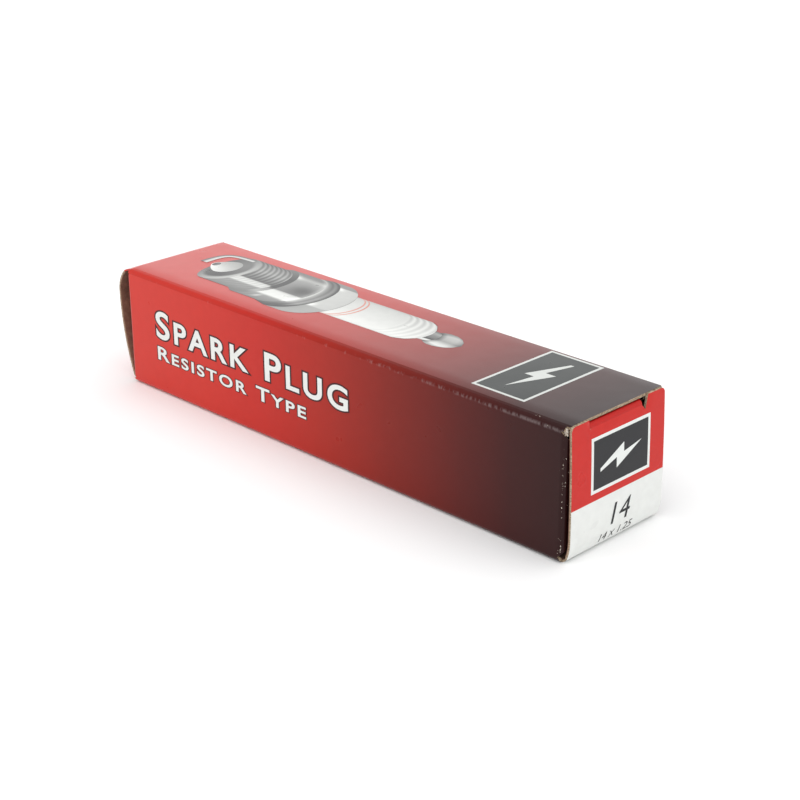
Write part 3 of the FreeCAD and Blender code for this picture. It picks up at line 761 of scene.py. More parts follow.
def build_glue_flap():
    low, high = node_box("glue_flap")
    root, tip = high[1] + 0.05, low[1]
    across = np.linspace(0, 1, 14)
    along = np.linspace(-1, 1, 60)
    middle, half = (low[0] + high[0]) / 2, (high[0] - low[0]) / 2
    y = root + (tip - root) * across
    reach = half - 4.0 * across
    x = middle + along[:, None] * reach[None, :]
    grid = np.stack([x, np.broadcast_to(y, x.shape), np.full_like(x, low[2] + 0.005)], -1)
    piece = board_piece("glue_flap_board", grid, [RAW, KRAFT_AND_SHADE, RAW], open_rims=("col_low",))
    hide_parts("glue_flap")
    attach(piece, "carton")


build_glue_flap()


def build_corner_fibres():
    """The torn board fibres that fill the gap at the front right corner, above the dust flap's crease."""
    rng = np.random.default_rng(7)
    x = np.linspace(XR - 0.95, XR - 0.12, 9)
    z = np.linspace(HEIGHT - 1.55, HEIGHT - 0.42, 11)
    grid = np.zeros((len(z), len(x), 3))
    grid[..., 0] = x[None, :] + rng.uniform(-0.03, 0.03, grid.shape[:2])
    grid[..., 1] = -SIDE + 0.42 + rng.uniform(-0.06, 0.06, grid.shape[:2])
    grid[..., 2] = z[:, None] + rng.uniform(-0.04, 0.04, grid.shape[:2])
    grid[0, :, 2] += rng.uniform(-0.25, 0.2, len(x))
    count = grid.shape[0] * grid.shape[1]
    back = grid + np.array((0, 0.2, 0))
    verts = np.concatenate([grid.reshape(-1, 3), back.reshape(-1, 3)])
    faces = grid_faces(*grid.shape[:2], flip=True) + grid_faces(*grid.shape[:2], count)
    border = list(range(len(x))) + [i * len(x) + len(x) - 1 for i in range(1, len(z))]
    border += [(len(z) - 1) * len(x) + j for j in range(len(x) - 2, -1, -1)]
    border += [i * len(x) for i in range(len(z) - 2, 0, -1)]
    faces += [(b, a, a + count, b + count) for a, b in zip(border, border[1:] + border[:1])]
    piece = mesh_object("corner_fibres", verts, faces, [FIBRE])
    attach(piece, "carton")


build_corner_fibres()

# ---------------------------------------------------------------- print on the carton

# How far the layers of print stand off the board, so that each hides the one below it (mm).
BASE_LIFT, FIELD_LIFT, WORD_LIFT, BOLT_LIFT = 0.012, 0.018, 0.024, 0.026


def on_top(u, v, lift):
    """A place on the top panel: u from the left crease, v from the back edge."""
    x, y = XL + u, SIDE - v
    return np.stack(np.broadcast_arrays(x, y, top_face(y) + lift), -1)


def on_front(u, v, lift):
    """A place on the front panel: u from the left crease, v down from the top."""
    x, z = XL + u, HEIGHT - v
    along = np.clip((x - (XL + XR) / 2) / (LENGTH / 2), -1, 1)
    across = np.clip((z - HEIGHT / 2) / (HEIGHT / 2 - CORNER), -1, 1)
    y = -SIDE + panel_sink("front", along, across) - lift
    return np.stack(np.broadcast_arrays(x, y, z), -1)


def on_end(u, v, lift):
    """A place on the right closure: u from the front edge, v down from the top."""
    rise = HEIGHT - v - HALF
    out = RIGHT.face(rise) + closure_relief(rise, u - SIDE) + lift
    return RIGHT.place(out, rise, u - SIDE)


def printed(name, points, faces, place, lift, material, body, colours=None):
    points = np.asarray(points, float)
    piece = mesh_object(name, place(points[:, 0], points[:, 1], lift), faces, [material], colours=colours)
    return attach(piece, body)


def text_outline(words, small=0.8, offset=0.0, slant=0.0, spacing=1.0):
    """A word's filled outline as points and faces, in units of its own size, in the built-in plain face. It
    is cut into strips, so that it can lie on a curved panel."""
    curve = bpy.data.curves.new("lettering", "FONT")
    curve.body = words
    curve.offset = offset
    curve.shear = slant
    curve.space_character = spacing
    curve.resolution_u = 8
    curve.small_caps_scale = small
    for style in curve.body_format:
        style.use_small_caps = True
    obj = link(bpy.data.objects.new("lettering", curve))
    bpy.context.view_layer.update()
    mesh = bpy.data.meshes.new_from_object(obj.evaluated_get(bpy.context.evaluated_depsgraph_get()))
    bm = bmesh.new()
    bm.from_mesh(mesh)
    for level in np.arange(-0.1, 0.9, 0.1):
        cut = bm.verts[:] + bm.edges[:] + bm.faces[:]
        bmesh.ops.bisect_plane(bm, geom=cut, plane_co=(0, level, 0), plane_no=(0, 1, 0))
    bm.verts.index_update()
    points = np.array([v.co[:2] for v in bm.verts])
    faces = [tuple(v.index for v in face.verts) for face in bm.faces]
    bm.free()
    bpy.data.objects.remove(obj)
    bpy.data.curves.remove(curve)
    bpy.data.meshes.remove(mesh)
    return points, faces


def fitted(points, reference, u0, v_base, width, height):
    """Scales an outline so that the reference outline fills the given width and height above v_base."""
    low, high = reference.min(0), reference.max(0)
    scale = np.array([width, height]) / (high - low)
    moved = (points - low) * scale
    return np.stack([u0 + moved[:, 0], v_base - moved[:, 1]], 1)


def lettering(name, words, place, u0, v_base, width, height, body, ink, outline=None, bold=0.0, **style):
    plain, faces = text_outline(words, offset=bold, **style)
    spots = fitted(plain, plain, u0, v_base, width, height)
    printed(name, spots, faces, place, WORD_LIFT, ink, body)
    if outline:
        wide, wide_faces = text_outline(words, offset=bold + outline, **style)
        spots = fitted(wide, plain, u0, v_base, width, height)
        printed(f"{name}_outline", spots, wide_faces, place, BASE_LIFT, OUTLINE_INK, body)


def patch(name, place, u0, v0, u1, v1, lift, material, body, steps=8):
    """A plain printed rectangle."""
    u, v = np.meshgrid(np.linspace(u0, u1, steps), np.linspace(v0, v1, steps), indexing="ij")
    points = np.stack([u.ravel(), v.ravel()], 1)
    return printed(name, points, grid_faces(steps, steps), place, lift, material, body)


# The letters stand apart, so that their outlines do not run into each other.
FRONT_STYLE = {"body": "carton", "ink": WHITE_INK, "outline": 0.04, "bold": 0.02, "spacing": 1.2}
lettering("front_words", "Spark Plug", on_front, 8.2, 11.7, 51.6, 5.5, **FRONT_STYLE)
lettering("front_second_line", "Resistor Type", on_front, 8.3, 16.0, 41.0, 2.7, **FRONT_STYLE)


def bolt_shape():
    """A lightning bolt within a unit square, first axis across."""
    return np.array([
        (0.62, 0.04), (0.24, 0.56), (0.47, 0.56), (0.36, 0.96), (0.78, 0.40), (0.53, 0.40), (0.70, 0.04)
    ])


def emblem(name, place, u0, v0, u1, v1, body, turned, white, black):
    """A generic badge: a white frame round a dark field, with a white bolt."""
    patch(f"{name}_frame", place, u0, v0, u1, v1, BASE_LIFT, white, body)
    edge = 0.55
    patch(f"{name}_field", place, u0 + edge, v0 + edge, u1 - edge, v1 - edge, FIELD_LIFT, black, body)
    shape = bolt_shape()
    if turned:
        shape = shape[:, ::-1]
    wide, tall = u1 - u0, v1 - v0
    inset, share = 0.12, 0.76
    points = np.array([u0, v0]) + np.array([wide, tall]) * (inset + share * shape)
    printed(f"{name}_bolt", points, [tuple(range(len(points)))], place, BOLT_LIFT, white, body)


# ---- the printed picture of the plug, seen from its tip, on the top panel ----

# A ring round the drawn plug shows as an ellipse, and its near half bulges towards the terminal.
RING_TILT = 0.7
# The tones below are as they look through the varnish, which adds this much light.
VEIL = 0.15
# The picture's patches lie in layers, which begin this far off the panel and are this far apart (mm).
PICTURE_LIFT, LAYER_STEP = 0.006, 0.0035
drawn = {"points": [], "faces": [], "tones": []}


def add_patch(u, v, tone, layer, warmth=0.0):
    """A patch of the picture: a grid of places on the panel, each with its tone from 0, black, to 255,
    white."""
    rows, cols = u.shape
    start = sum(len(points) for points in drawn["points"])
    tone = np.clip(np.broadcast_to(tone, u.shape), 0, 255) / 255
    linear = np.maximum(((tone + 0.055) / 1.055) ** 2.4 - VEIL, 0.012)
    green, blue = linear * (1.012 - warmth), linear * (0.975 - 1.08 * warmth)
    colour = np.stack([linear, green, blue, np.ones_like(linear)], -1)
    drawn["points"].append(on_top(u, v, PICTURE_LIFT + LAYER_STEP * layer).reshape(-1, 3))
    drawn["tones"].append(colour.reshape(-1, 4))
    drawn["faces"] += grid_faces(rows, cols, start)


def band_of_rings(stations, radii, centre, layer, shade, warmth=0.0, columns=61):
    """A stretch of the drawn plug's side, as rings. shade(place, across) gives its tones: place runs from 0
    to 1 along it, and across from -1 at its far edge to 1 at its near edge."""
    turn = np.linspace(-1, 1, columns)[None, :]
    slope = np.gradient(np.array(radii, float), stations)[:, None]
    across = np.sin(turn * np.arccos(np.clip(-RING_TILT * slope, 0.0, 0.97)))
    stations, radii = np.array(stations, float)[:, None], np.array(radii, float)[:, None]
    place = (stations - stations[0]) / (stations[-1] - stations[0])
    u = stations + RING_TILT * radii * np.sqrt(1 - across**2)
    add_patch(u, centre + radii * across, shade(place, across), layer, warmth)


def disc(u0, v0, radius, layer, shade, tilt=RING_TILT, left_tilt=None):
    """A whole ring seen at an angle and filled in, such as an end. shade(share, angle) gives its tones. Its
    left half may bulge less than its right."""
    share = np.linspace(1, 0.02, 8)[:, None]
    angle = np.linspace(0, 2 * np.pi, 49)[None, :]
    bulge = np.where(np.cos(angle) < 0, left_tilt or tilt, tilt)
    u = u0 + bulge * radius * share * np.cos(angle)
    add_patch(u, v0 + radius * share * np.sin(angle), shade(share, angle), layer)


def across_tones(*stops):
    """Tones that depend only on the place across: (across, tone) pairs."""
    places, tones = zip(*stops)
    return lambda place, across: np.interp(across, places, tones) + 0 * place


def near(value, middle, width):
    """1 at the middle, falling smoothly to 0 at a width away."""
    return np.exp(-(((value - middle) / width) ** 2))


def insulator_shade(place, across):
    places = (-1, -0.85, -0.4, 0.0, 0.45, 0.75, 0.93, 1)
    base = np.interp(across, places, (196, 212, 222, 228, 236, 243, 240, 222))
    ribs = np.clip((place - 0.66) / 0.03, 0, 1) * np.cos(2 * np.pi * (place - 0.66) / 0.064)
    return base + 11 * ribs * (1 - 0.5 * across)


def hex_shade(place, across):
    far, face, near_face = across < -0.82, np.abs(across + 0.22) < 0.6, across > 0.38
    tone = 158 * far + (214 - 8 * place) * face + (176 + 14 * place) * near_face
    glint = near(place, 0.12, 0.14) * near(across, 0.3, 0.1)
    glint = glint + near(place, 0.12, 0.12) * near(across, -0.76, 0.07)
    return tone + 40 * glint - 60 * (place > 0.93) * (across > -0.9)


def flange_shade(place, across):
    side = np.interp(across, (-1, -0.7, 0, 0.5, 0.8, 1), (140, 150, 170, 176, 132, 120))
    bright = 62 * near(place, 0.12, 0.16) * (across < 0.62)
    low, middle = 52 * near(place, 0.97, 0.14), 20 * near(place, 0.55, 0.1)
    return side + bright - low - middle


def barrel_shade(place, across):
    base = np.interp(
        across,
        (-1, -0.86, -0.72, -0.6, -0.3, 0.22, 0.27, 0.6, 0.68, 0.84, 1),
        (142, 150, 196, 176, 166, 152, 238, 244, 168, 158, 146),
    )
    shadow = 40 * near(place, 0.66, 0.36) * near(across, -0.12, 0.32)
    glint = 44 * near(place, 0.06, 0.16) * near(across, -0.72, 0.12)
    streak = 60 * near(place - 0.3 * across, 0.12, 0.06) * near(across, 0.8, 0.1)
    return base - shadow + glint + streak + 26 * near(place, 0.98, 0.08) * (across < 0.7)


def thread_shade(place, across):
    base = np.interp(
        across,
        (-1, -0.8, -0.45, -0.1, 0.16, 0.2, 0.46, 0.52, 0.75, 1),
        (128, 150, 166, 140, 122, 214, 226, 164, 158, 142),
    )
    turns = np.cos(2 * np.pi * place * 7)
    return base + turns * np.interp(across, (-1, -0.3, 0.1, 0.3, 0.6, 1), (16, 26, 10, 10, 6, 2))


def cap_shade(share, angle):
    """The shell's end: a bright rim, and the dark bore inside it."""
    rim = 160 + 42 * np.cos(angle - 0.35)
    bore = 118 + 20 * np.cos(angle + 0.9)
    return np.where(share > 0.84, rim, bore)


def draw_terminal():
    tones = across_tones(
        (-1, 128), (-0.6, 176), (-0.2, 150), (0.2, 136), (0.5, 92), (0.62, 232), (0.85, 236), (1, 170)
    )
    band_of_rings([62.6, 64.0, 65.8], [2.55, 2.4, 2.2], 10.05, 1, tones)

    def ball(place, across):
        base = np.interp(across, (-1, -0.7, -0.3, 0.1, 0.5, 0.75, 1), (150, 206, 196, 176, 224, 240, 176))
        return base - 70 * near(place, 0, 0.07) - 46 * np.clip((place - 0.55) / 0.2, 0, 1)

    band_of_rings([65.8, 66.6, 67.6, 68.8, 70.0, 71.0, 71.8, 72.3],
                  [2.2, 2.75, 3.05, 3.05, 2.7, 2.0, 1.1, 0.5], 10.1, 2, ball)


def draw_body():
    slim, middle = 4.97, 9.97
    stations = np.concatenate([np.linspace(38.0, 61.0, 90), [61.7, 62.3, 62.8]])
    radii = np.concatenate([np.full(90, slim), [4.72, 4.2, 3.6]])
    band_of_rings(stations, radii, middle, 3, insulator_shade)
    stripe = across_tones((-1, 222), (1, 234))
    for station in (43.6, 44.6):
        band_of_rings([station, station + 0.4], [slim, slim], middle, 4, stripe, 0.62)
    stations = np.linspace(33.1, 39.4, 32)
    corner = 8.5 - 1.1 * np.clip((stations - 37.6) / 1.8, 0, 1) ** 2
    band_of_rings(stations, corner, 10.6, 5, hex_shade)
    band_of_rings(np.linspace(30.3, 33.6, 24), np.linspace(7.7, 8.5, 24), 10.6, 6, flange_shade)
    band_of_rings(np.linspace(22.9, 30.8, 40), np.full(40, 7.75), 10.5, 7, barrel_shade)
    groove = across_tones(
        (-1, 140), (-0.7, 120), (-0.2, 100), (0.2, 104), (0.3, 170), (0.6, 190), (0.8, 150), (1, 140)
    )
    band_of_rings(np.linspace(22.0, 23.4, 8), np.linspace(6.9, 7.75, 8), 10.48, 8, groove)
    band_of_rings(np.linspace(13.8, 22.5, 96), np.full(96, 6.95), 10.4, 9, thread_shade)


def draw_tip():
    disc(13.8, 10.4, 6.95, 10, cap_shade, left_tilt=0.5)
    steps = 7
    for i in range(steps):
        share = i / (steps - 1)
        middle, radius = 13.1 - 2.7 * share, 3.25 - 2.0 * share**1.3
        shade = lambda part, angle, low=206 + 18 * share: low + 30 * np.sin(angle - 0.3) * part
        disc(middle, 10.1 + 0.25 * share, radius, 11 + 0.3 * i, shade, 0.75)
    disc(10.3, 10.4, 0.95, 13.4, lambda part, angle: 132 + 40 * np.cos(angle) * part - 50 * (part > 0.8))
    route = hermite((14.4, 4.4), (-20.0, 0.6), (7.35, 11.1), (0.8, 17.0), 40)
    heading = np.gradient(route, axis=0)
    side = np.stack([heading[:, 1], -heading[:, 0]], 1) / np.linalg.norm(heading, axis=1)[:, None]
    width = np.linspace(-1, 1, 13)
    half = 0.58 + 0.32 * np.linspace(0, 1, 40) ** 2
    spots = route[:, None] + side[:, None] * (half[:, None] * width)[..., None]
    tone = np.interp(width, (-1, -0.6, -0.3, -0.05, 0.4, 1), (122, 132, 150, 212, 226, 204))[None, :]
    add_patch(spots[::-1, :, 0], spots[::-1, :, 1], tone[::-1], 14)


draw_terminal()
draw_body()
draw_tip()
picture = mesh_object(
    "top_picture",
    np.concatenate(drawn["points"]),
    drawn["faces"],
    [PICTURE],
    colours=np.concatenate(drawn["tones"]),
)
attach(picture, "carton")

emblem("top_badge", on_top, 84.6, 1.1, 95.5, 20.6, "carton", False, TOP_WHITE_INK_SHADED, TOP_BLACK_INK_SHADED)
emblem("end_badge", on_end, 5.2, 3.3, 19.6, 12.5, "right_cover", True, WHITE_INK, BLACK_INK)
lettering("end_number", "14", on_end, 10.3, 19.2, 4.9, 3.5, "right_cover", BLACK_INK, slant=0.25)
lettering("end_size", "14 x 1.25", on_end, 7.8, 21.5, 8.2, 1.35, "right_cover", BLACK_INK, slant=0.25)

# ---------------------------------------------------------------- plug materials


def metal_material(name, colour, roughness, turning=0.0, patina=0.12):
    """Bare or plated metal: slightly uneven gloss, a faint patina and, where turning is given, lathe
    marks."""
    m = Nodes(name)
    blotch = m.ramp(m.noise(260.0, 3.0, 0.6), [(0.3, grey(1 - patina)), (0.7, grey(1.0))])
    m.set(Base_Color=m.mix(1.0, colour, blotch, "MULTIPLY"), Metallic=1.0)
    spread = m.math("MULTIPLY", m.noise(1400.0, 3.0, 0.65), 0.22)
    m.set(Roughness=m.math("ADD", spread, roughness - 0.1))
    marks = m.noise(1.0, 2.0, 0.6, m.scaled((9000.0, 120.0, 120.0)))
    grain = m.noise(3200.0, 2.0)
    m.bump(shared(m, marks, turning, grain, 0.12), 0.2, 0.00002)
    return m.material


def ceramic_material():
    """Glazed white alumina, with a few fine dark specks in the body."""
    m = Nodes("glazed_ceramic")
    specks = m.ramp(m.noise(2600.0, 3.0, 0.7), [(0.24, srgb(196, 194, 188)), (0.32, srgb(236, 236, 231))])
    tint = m.ramp(m.noise(90.0, 2.0), [(0.3, grey(0.975)), (0.7, grey(1.0))])
    m.set(Base_Color=m.mix(1.0, specks, tint, "MULTIPLY"), IOR=1.6)
    m.set(Roughness=m.math("ADD", m.math("MULTIPLY", m.noise(500.0, 2.0), 0.08), 0.1))
    m.set(Subsurface_Weight=0.06, Subsurface_Scale=0.0006)
    m.bump(m.noise(180.0, 1.0), 0.12, 0.0001)
    return m.material


def grain_material(name, stops, scale, roughness, depth=0.00005):
    """A grainy solid, such as fused glass, carbon mix, packed powder or glue: stops are its colours."""
    m = Nodes(name)
    grain = m.noise(scale, 4.0, 0.65)
    m.set(Base_Color=m.ramp(grain, stops))
    m.set(Roughness=m.math("ADD", m.math("MULTIPLY", grain, 0.2), roughness - 0.1))
    m.bump(grain, 0.5, depth)
    return m.material


STEEL = metal_material("plated_steel_finish", srgb(206, 205, 200), 0.27, turning=0.75)
NICKEL = metal_material("nickel_alloy_finish", srgb(172, 168, 160), 0.36, turning=0.2, patina=0.2)
TERMINAL = metal_material("terminal_metal_finish", srgb(214, 212, 206), 0.22, turning=0.6)
GASKET = metal_material("gasket_steel_finish", srgb(190, 187, 180), 0.34, turning=0.3, patina=0.18)
COPPER = metal_material("copper_finish", srgb(196, 122, 88), 0.3, turning=0.4)
CERAMIC = ceramic_material()
GLASS = grain_material("glass_seal_finish", [(0.35, srgb(58, 58, 62)), (0.6, srgb(96, 84, 76))], 2600.0, 0.4)
CARBON = grain_material("resistor_finish", [(0.35, srgb(34, 33, 34)), (0.65, srgb(62, 60, 60))], 3400.0, 0.72)
TALC = grain_material("talc_finish", [(0.3, srgb(206, 200, 188)), (0.6, srgb(232, 228, 220))], 1800.0, 0.95)
GLUE = grain_material("glue_finish", [(0.3, srgb(196, 170, 118)), (0.6, srgb(222, 202, 156))], 500.0, 0.5)

# ---------------------------------------------------------------- plug shapes

# Columns round a turned piece: a multiple of six, so that the hexagon's corners are exact.
COLUMNS = 96


def turned_piece(name, outline, material, node, body, shape=None, columns=COLUMNS, sharp=32.0):
    """A turned piece from its closed outline of (radius, height) points, with heights from the gasket seat
    towards the terminal. shape(radius, height, angle), if given, returns the radii all round."""
    outline = np.array(outline, float)
    angle = np.arange(columns)[None, :] * 2 * np.pi / columns
    radius = np.repeat(outline[:, :1], columns, 1)
    height = np.repeat(outline[:, 1:], columns, 1)
    if shape:
        radius = shape(radius, height, angle)
    points = np.stack([SEAT_X - height, radius * np.cos(angle), AXIS_Z + radius * np.sin(angle)], -1)
    rows = len(outline)
    faces = grid_faces(rows, columns, wrap=True)
    last = (rows - 1) * columns
    faces += [(last + j, last + (j + 1) % columns, (j + 1) % columns, j) for j in range(columns)]
    bm = bmesh.new()
    spots = [bm.verts.new(tuple(p * MM)) for p in points.reshape(-1, 3)]
    for face in faces:
        bm.faces.new([spots[i] for i in face])
    bmesh.ops.remove_doubles(bm, verts=bm.verts, dist=1e-8)
    bmesh.ops.dissolve_degenerate(bm, edges=bm.edges, dist=1e-8)
    bmesh.ops.recalc_face_normals(bm, faces=bm.faces)
    mesh = bpy.data.meshes.new(name)
    bm.to_mesh(mesh)
    bm.free()
    mesh.materials.append(material)
    mesh.polygons.foreach_set("use_smooth", [True] * len(mesh.polygons))
    mark_sharp(mesh, sharp)
    piece = link(bpy.data.objects.new(name, mesh))
    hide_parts(node)
    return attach(piece, body)


def rounded(centre_radius, centre_height, size, start, end, count=6):
    """A quarter or other arc of an outline, (radius, height), between two angles in degrees."""
    return [tuple(p) for p in arc((centre_radius, centre_height), size, start, end, count)]


def screw_radius(height, angle, crest, pitch):
    """A metric thread's radius: 60 degree flanks, a narrow flat on the crest and a rounded root."""
    depth = 0.6134 * pitch
    phase = np.mod(height / pitch - angle / (2 * np.pi), 1.0)
    rise = np.clip((np.abs(2 * phase - 1) - 0.14) / 0.72, 0, 1)
    return crest - depth * (1 - rise) ** 1.1


def build_shell():
    flats, hex_low, hex_top, chamfer = 8.0, 9.4, 17.8, 2.24 / 0.75

    def shape(radius, height, angle):
        threaded = (height > -REACH + 0.02) & (height < -2.0) & (radius > 6.3)
        thread = screw_radius(height, angle, 7.0, PITCH)
        thread = np.minimum(thread, 6.25 + (height + REACH))
        thread = np.minimum(thread, 6.2 + np.clip((-2.0 - height) / 0.9, 0, 1) * 0.8)
        around = np.mod(angle - np.pi / 6, np.pi / 3) - np.pi / 6
        flat = flats / np.cos(around)
        rim = flats - 0.02 + chamfer * np.minimum(height - hex_low, hex_top - height)
        hexagon = (height > hex_low + 0.005) & (height < hex_top - 0.005) & (radius > 7.96)
        return np.where(threaded, thread, np.where(hexagon, np.minimum(flat, rim), radius))

    bevel = np.linspace(0.01, 0.44, 9)
    outline = [(4.2, -REACH), (4.5, -REACH), (6.1, -REACH)]
    outline += [(7.0, h) for h in np.linspace(-REACH + 0.05, -2.05, 190)]
    outline += [(6.2, -1.95), (6.2, -0.2)] + rounded(6.4, -0.2, 0.2, 180, 90, 4)
    outline += rounded(9.7, 0.2, 0.2, -90, 0) + rounded(9.4, 1.9, 0.5, 0, 90) + [(8.9, 2.55)]
    outline += rounded(8.5, 6.7, 0.4, 0, 60) + [(7.95, 7.5), (7.95, 9.3), (7.9, hex_low)]
    outline += [(8.0, hex_low + b) for b in bevel] + [(8.0, h) for h in np.linspace(10.2, 17.0, 5)]
    outline += [(8.0, hex_top - b) for b in bevel[::-1]] + [(7.9, hex_top), (7.75, hex_top)]
    outline += [(7.7, 17.9)] + rounded(6.5, 18.4, 1.2, 0, 90, 9) + rounded(5.75, 19.3, 0.3, 90, 180)
    outline += [(5.45, 18.5), (7.0, 17.9), (7.0, 6.2), (4.9, 4.2), (4.9, -7.6), (4.2, -7.6)]
    turned_piece("metal_shell_body", outline, STEEL, "metal_shell", "plug", shape)


def build_insulator():
    def rib(height):
        return 0.5 * np.cos(np.pi * (height - 29.4) / 2.5) ** 2 * ((height > 28.15) & (height < 40.65))

    outline = [(1.3, -21.5)] + rounded(2.05, -21.2, 0.3, -90, 2) + [(3.6, -7.0), (4.8, -6.5), (4.8, 4.0)]
    outline += [(6.85, 6.1), (6.85, 12.8), (5.25, 12.8), (5.25, 20.0), (5.25, 27.9)]
    outline += [(5.25 - rib(h), h) for h in np.linspace(28.1, 40.7, 85)]
    outline += rounded(4.75, 41.2, 0.5, 0, 24, 5) + rounded(3.9, 43.95, 0.42, 24, 90, 6)
    outline += [(2.1, 44.37), (2.1, -2.0), (1.3, -2.0)]
    turned_piece("insulator_body", outline, CERAMIC, "insulator", "plug")


def build_electrodes():
    tip, spark_gap = -23.0, 0.8
    outline = [(0.0, tip)] + rounded(1.1, -22.85, 0.15, -90, 0, 4)
    outline += [(1.25, -2.0), (1.85, -2.0), (1.85, -0.5)]
    outline += [(0.0, -0.5), (0.0, -1.2), (0.7, -1.2), (0.7, -20.5), (0.0, -20.5)]
    turned_piece("center_wire", outline, NICKEL, "center_electrode", "plug", columns=48)

    wide, thick, corner = 2.6, 1.35, 0.28
    section = []
    for sy, st, start in ((1, 1, 0), (-1, 1, 90), (-1, -1, 180), (1, -1, 270)):
        section += rounded(sy * (wide / 2 - corner), st * (thick / 2 - corner), corner, start, start + 90, 4)
    middle, bend, end_height = 6.3 - thick / 2, 2.4 - thick / 2, tip - spark_gap - thick / 2
    route = [(middle, h) for h in np.linspace(-REACH, end_height + bend, 5)[:-1]]
    for a in np.radians(np.linspace(0, 90, 13)):
        route.append((middle - bend + bend * math.cos(a), end_height + bend - bend * math.sin(a)))
    route += [(r, end_height) for r in np.linspace(middle - bend, -1.4, 6)[1:]]
    route = np.array(route)
    heading = np.gradient(route, axis=0)
    out = np.stack([-heading[:, 1], heading[:, 0]], 1) / np.linalg.norm(heading, axis=1)[:, None]
    points = []
    for (radius, height), (out_r, out_h) in zip(route, out):
        for across, lift in section:
            r, h = radius + out_r * lift, height + out_h * lift
            points.append((SEAT_X - h, across, AXIS_Z + r))
    count = len(section)
    faces = grid_faces(len(route), count, wrap=True)
    faces += [tuple(range(count))[::-1], tuple(range((len(route) - 1) * count, len(route) * count))]
    piece = mesh_object("side_wire", points, faces, [NICKEL], sharp_angle=40.0)
    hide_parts("ground_electrode")
    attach(piece, "plug")


def build_terminal():
    top, pitch = 44.4, 0.7

    def shape(radius, height, angle):
        threaded = (height > 45.3) & (height < 51.35) & (radius > 1.9)
        thread = np.minimum(screw_radius(height, angle, 2.0, pitch), 1.45 + np.clip((51.6 - height), 0, 0.6))
        return np.where(threaded, thread, radius)

    outline = [(0.0, 16.0), (1.5, 16.0), (1.5, 19.0), (1.95, 19.3), (1.95, top), (3.15, top)]
    outline += rounded(3.15, top + 0.15, 0.15, -90, 0, 3) + rounded(3.15, top + 0.55, 0.15, 0, 90, 3)
    outline += [(1.6, top + 0.7), (1.6, 45.25)] + [(2.0, h) for h in np.linspace(45.32, 51.3, 90)]
    outline += [(1.5, 51.4), (1.3, 51.6), (0.0, 51.6)]
    turned_piece("terminal_rod", outline, TERMINAL, "terminal_stud", "plug", shape, 48)

    seat, end = top + 0.75, 53.0
    outline = [(2.05, seat), (3.2, seat)] + rounded(3.2, seat + 0.15, 0.15, -90, 0, 3)
    outline += rounded(3.15, seat + 1.9, 0.2, 0, 80, 4) + rounded(2.95, seat + 2.7, 0.2, 225, 180, 3)
    outline += rounded(2.95, seat + 3.5, 0.2, 180, 130, 3) + rounded(2.775, seat + 4.2, 0.4, -35, 0, 4)
    outline += [(3.175, seat + 5.6)] + rounded(2.175, seat + 6.6, 1.0, 0, 62, 8)
    outline += rounded(1.5, end - 0.2, 0.2, 60, 90, 3) + [(0.0, end), (0.0, 51.7), (2.05, 51.7)]
    turned_piece("terminal_cap_nut", outline, TERMINAL, "terminal_nut", "nut")


def build_gasket():
    """The washer's steel strip is rolled over on itself, which leaves a seam round its inside."""
    high, low = -0.05, -1.95
    middle = (high + low) / 2
    outline = [(6.95, low)] + rounded(9.2, low + 0.5, 0.5, -90, 0) + [(9.62, middle)]
    outline += rounded(9.2, high - 0.5, 0.5, 0, 90) + rounded(6.9, high - 0.45, 0.45, 90, 215, 7)
    outline += [(7.3, middle + 0.12), (7.3, middle - 0.12)] + rounded(6.9, low + 0.45, 0.45, 145, 265, 7)
    turned_piece("rolled_gasket", outline, GASKET, "seat_gasket", "gasket")


build_shell()
build_insulator()
build_electrodes()
build_terminal()
build_gasket()

# The hidden fillings keep their CAD shapes and get their finishes.
FINISHES = {
    "copper_core": COPPER,
    "lower_glass_seal": GLASS,
    "upper_glass_seal": GLASS,
    "resistor_element": CARBON,
    "packing_washer": GASKET,
    "lower_seal_ring": GASKET,
    "upper_seal_ring": GASKET,
    "talc_seal": TALC,
    "glue_bead": GLUE,
}
for node, finish in FINISHES.items():
    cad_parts[node].material_slots[0].material = finish

# ---------------------------------------------------------------- floor

floor_mesh = bpy.data.meshes.new("floor")
floor_mesh.from_pydata([(-3, -3, 0), (3, -3, 0), (3, 3, 0), (-3, 3, 0)], [], [(0, 1, 2, 3)])
floor = link(bpy.data.objects.new("floor", floor_mesh))
# It lies a tenth of a millimetre under the carton, so that the two faces do not meet.
floor.location.z = -0.0001
pale = Nodes("floor_pale")
pale.set(Base_Color=pale.ramp(pale.noise(3.0, 2.0), [(0.3, grey(0.90)), (0.7, grey(0.92))]), Roughness=0.75)
floor_mesh.materials.append(pale.material)

# ---------------------------------------------------------------- light and camera

world = bpy.data.worlds.new("studio")
world.use_nodes = True
bpy.context.scene.world = world


# Heights are sines of the angle above the floor: those between which the backdrop gives way to the darker
# band, the band to the light overhead, and the light in front to the light overhead.
SKY_EDGE, HIGH_EDGE, FRONT_EDGE = (0.33, 0.42), (0.62, 0.85), (0.3, 0.85)
# The strengths of the light.
BACKDROP, BAND, OVERHEAD, FRONT_LIGHT = 1.3, 0.35, 1.6, 1.12


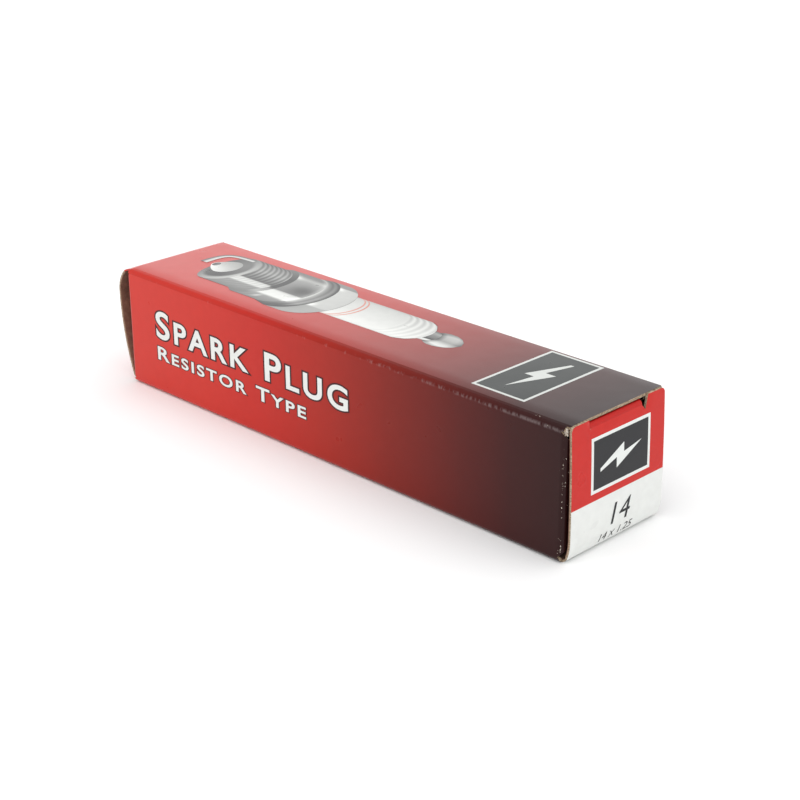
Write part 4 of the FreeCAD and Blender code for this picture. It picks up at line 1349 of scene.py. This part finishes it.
def studio_light():
    """White all round: brightest overhead and in a low backdrop behind the carton, with a darker band
    between."""
    tree = world.node_tree

    def made(kind, inputs, output=0, **settings):
        node = tree.nodes.new("ShaderNode" + kind)
        for key, value in settings.items():
            setattr(node, key, value)
        for key, value in inputs.items():
            if isinstance(value, bpy.types.NodeSocket):
                tree.links.new(value, node.inputs[key])
            else:
                node.inputs[key].default_value = value
        return node.outputs[output]

    def ranged(value, low, high, to_low=0.0, to_high=1.0):
        ranges = {"From Min": low, "From Max": high, "To Min": to_low, "To Max": to_high}
        return made("MapRange", {"Value": value, **ranges})

    way = made("SeparateXYZ", {0: made("TexCoord", {})}, 2)
    ways = way.node.outputs
    depth = made("Math", {0: ways[1], 1: ways[0]}, operation="SUBTRACT")
    behind = made("Math", {0: depth, 1: 0.707}, operation="MULTIPLY")
    at_back = ranged(behind, 0.1, 0.5)
    low = ranged(way, *SKY_EDGE, BACKDROP, BAND)
    high = ranged(way, *HIGH_EDGE, 0.0, OVERHEAD - BAND)
    back = made("Math", {0: low, 1: high}, operation="ADD")
    front = ranged(way, *FRONT_EDGE, FRONT_LIGHT, OVERHEAD)
    strength = made("Mix", {0: at_back, 2: front, 3: back})
    tree.links.new(strength, tree.nodes["Background"].inputs[1])
    tree.nodes["Background"].inputs[0].default_value = (1, 1, 1, 1)


studio_light()

# The camera's place and direction are in units of the carton's depth from its lower left front corner.
UNIT = 2 * SIDE
CAMERA_AT = (10.554, -7.552, 5.190)
CAMERA_YAW, CAMERA_PITCH, CAMERA_ROLL = 44.892, 22.78, -0.283
CAMERA_LENS = 77.094

camera_data = bpy.data.cameras.new("camera")
camera_data.lens = CAMERA_LENS
camera_data.sensor_width = 36.0
camera_data.clip_start = 0.01
camera = link(bpy.data.objects.new("camera", camera_data))
yaw, pitch, roll = map(math.radians, (CAMERA_YAW, CAMERA_PITCH, CAMERA_ROLL))
forward = Vector((-math.sin(yaw) * math.cos(pitch), math.cos(yaw) * math.cos(pitch), -math.sin(pitch)))
right = forward.cross(Vector((0, 0, 1))).normalized()
up = right.cross(forward)
turned_right = right * math.cos(roll) + up * math.sin(roll)
turned_up = up * math.cos(roll) - right * math.sin(roll)
camera.matrix_world = Matrix(
    (
        (turned_right.x, turned_up.x, -forward.x, (XL + CAMERA_AT[0] * UNIT) * MM),
        (turned_right.y, turned_up.y, -forward.y, (-SIDE + CAMERA_AT[1] * UNIT) * MM),
        (turned_right.z, turned_up.z, -forward.z, CAMERA_AT[2] * UNIT * MM),
        (0, 0, 0, 1),
    )
)
bpy.context.scene.camera = camera
bpy.context.scene.view_settings.view_transform = "Standard"
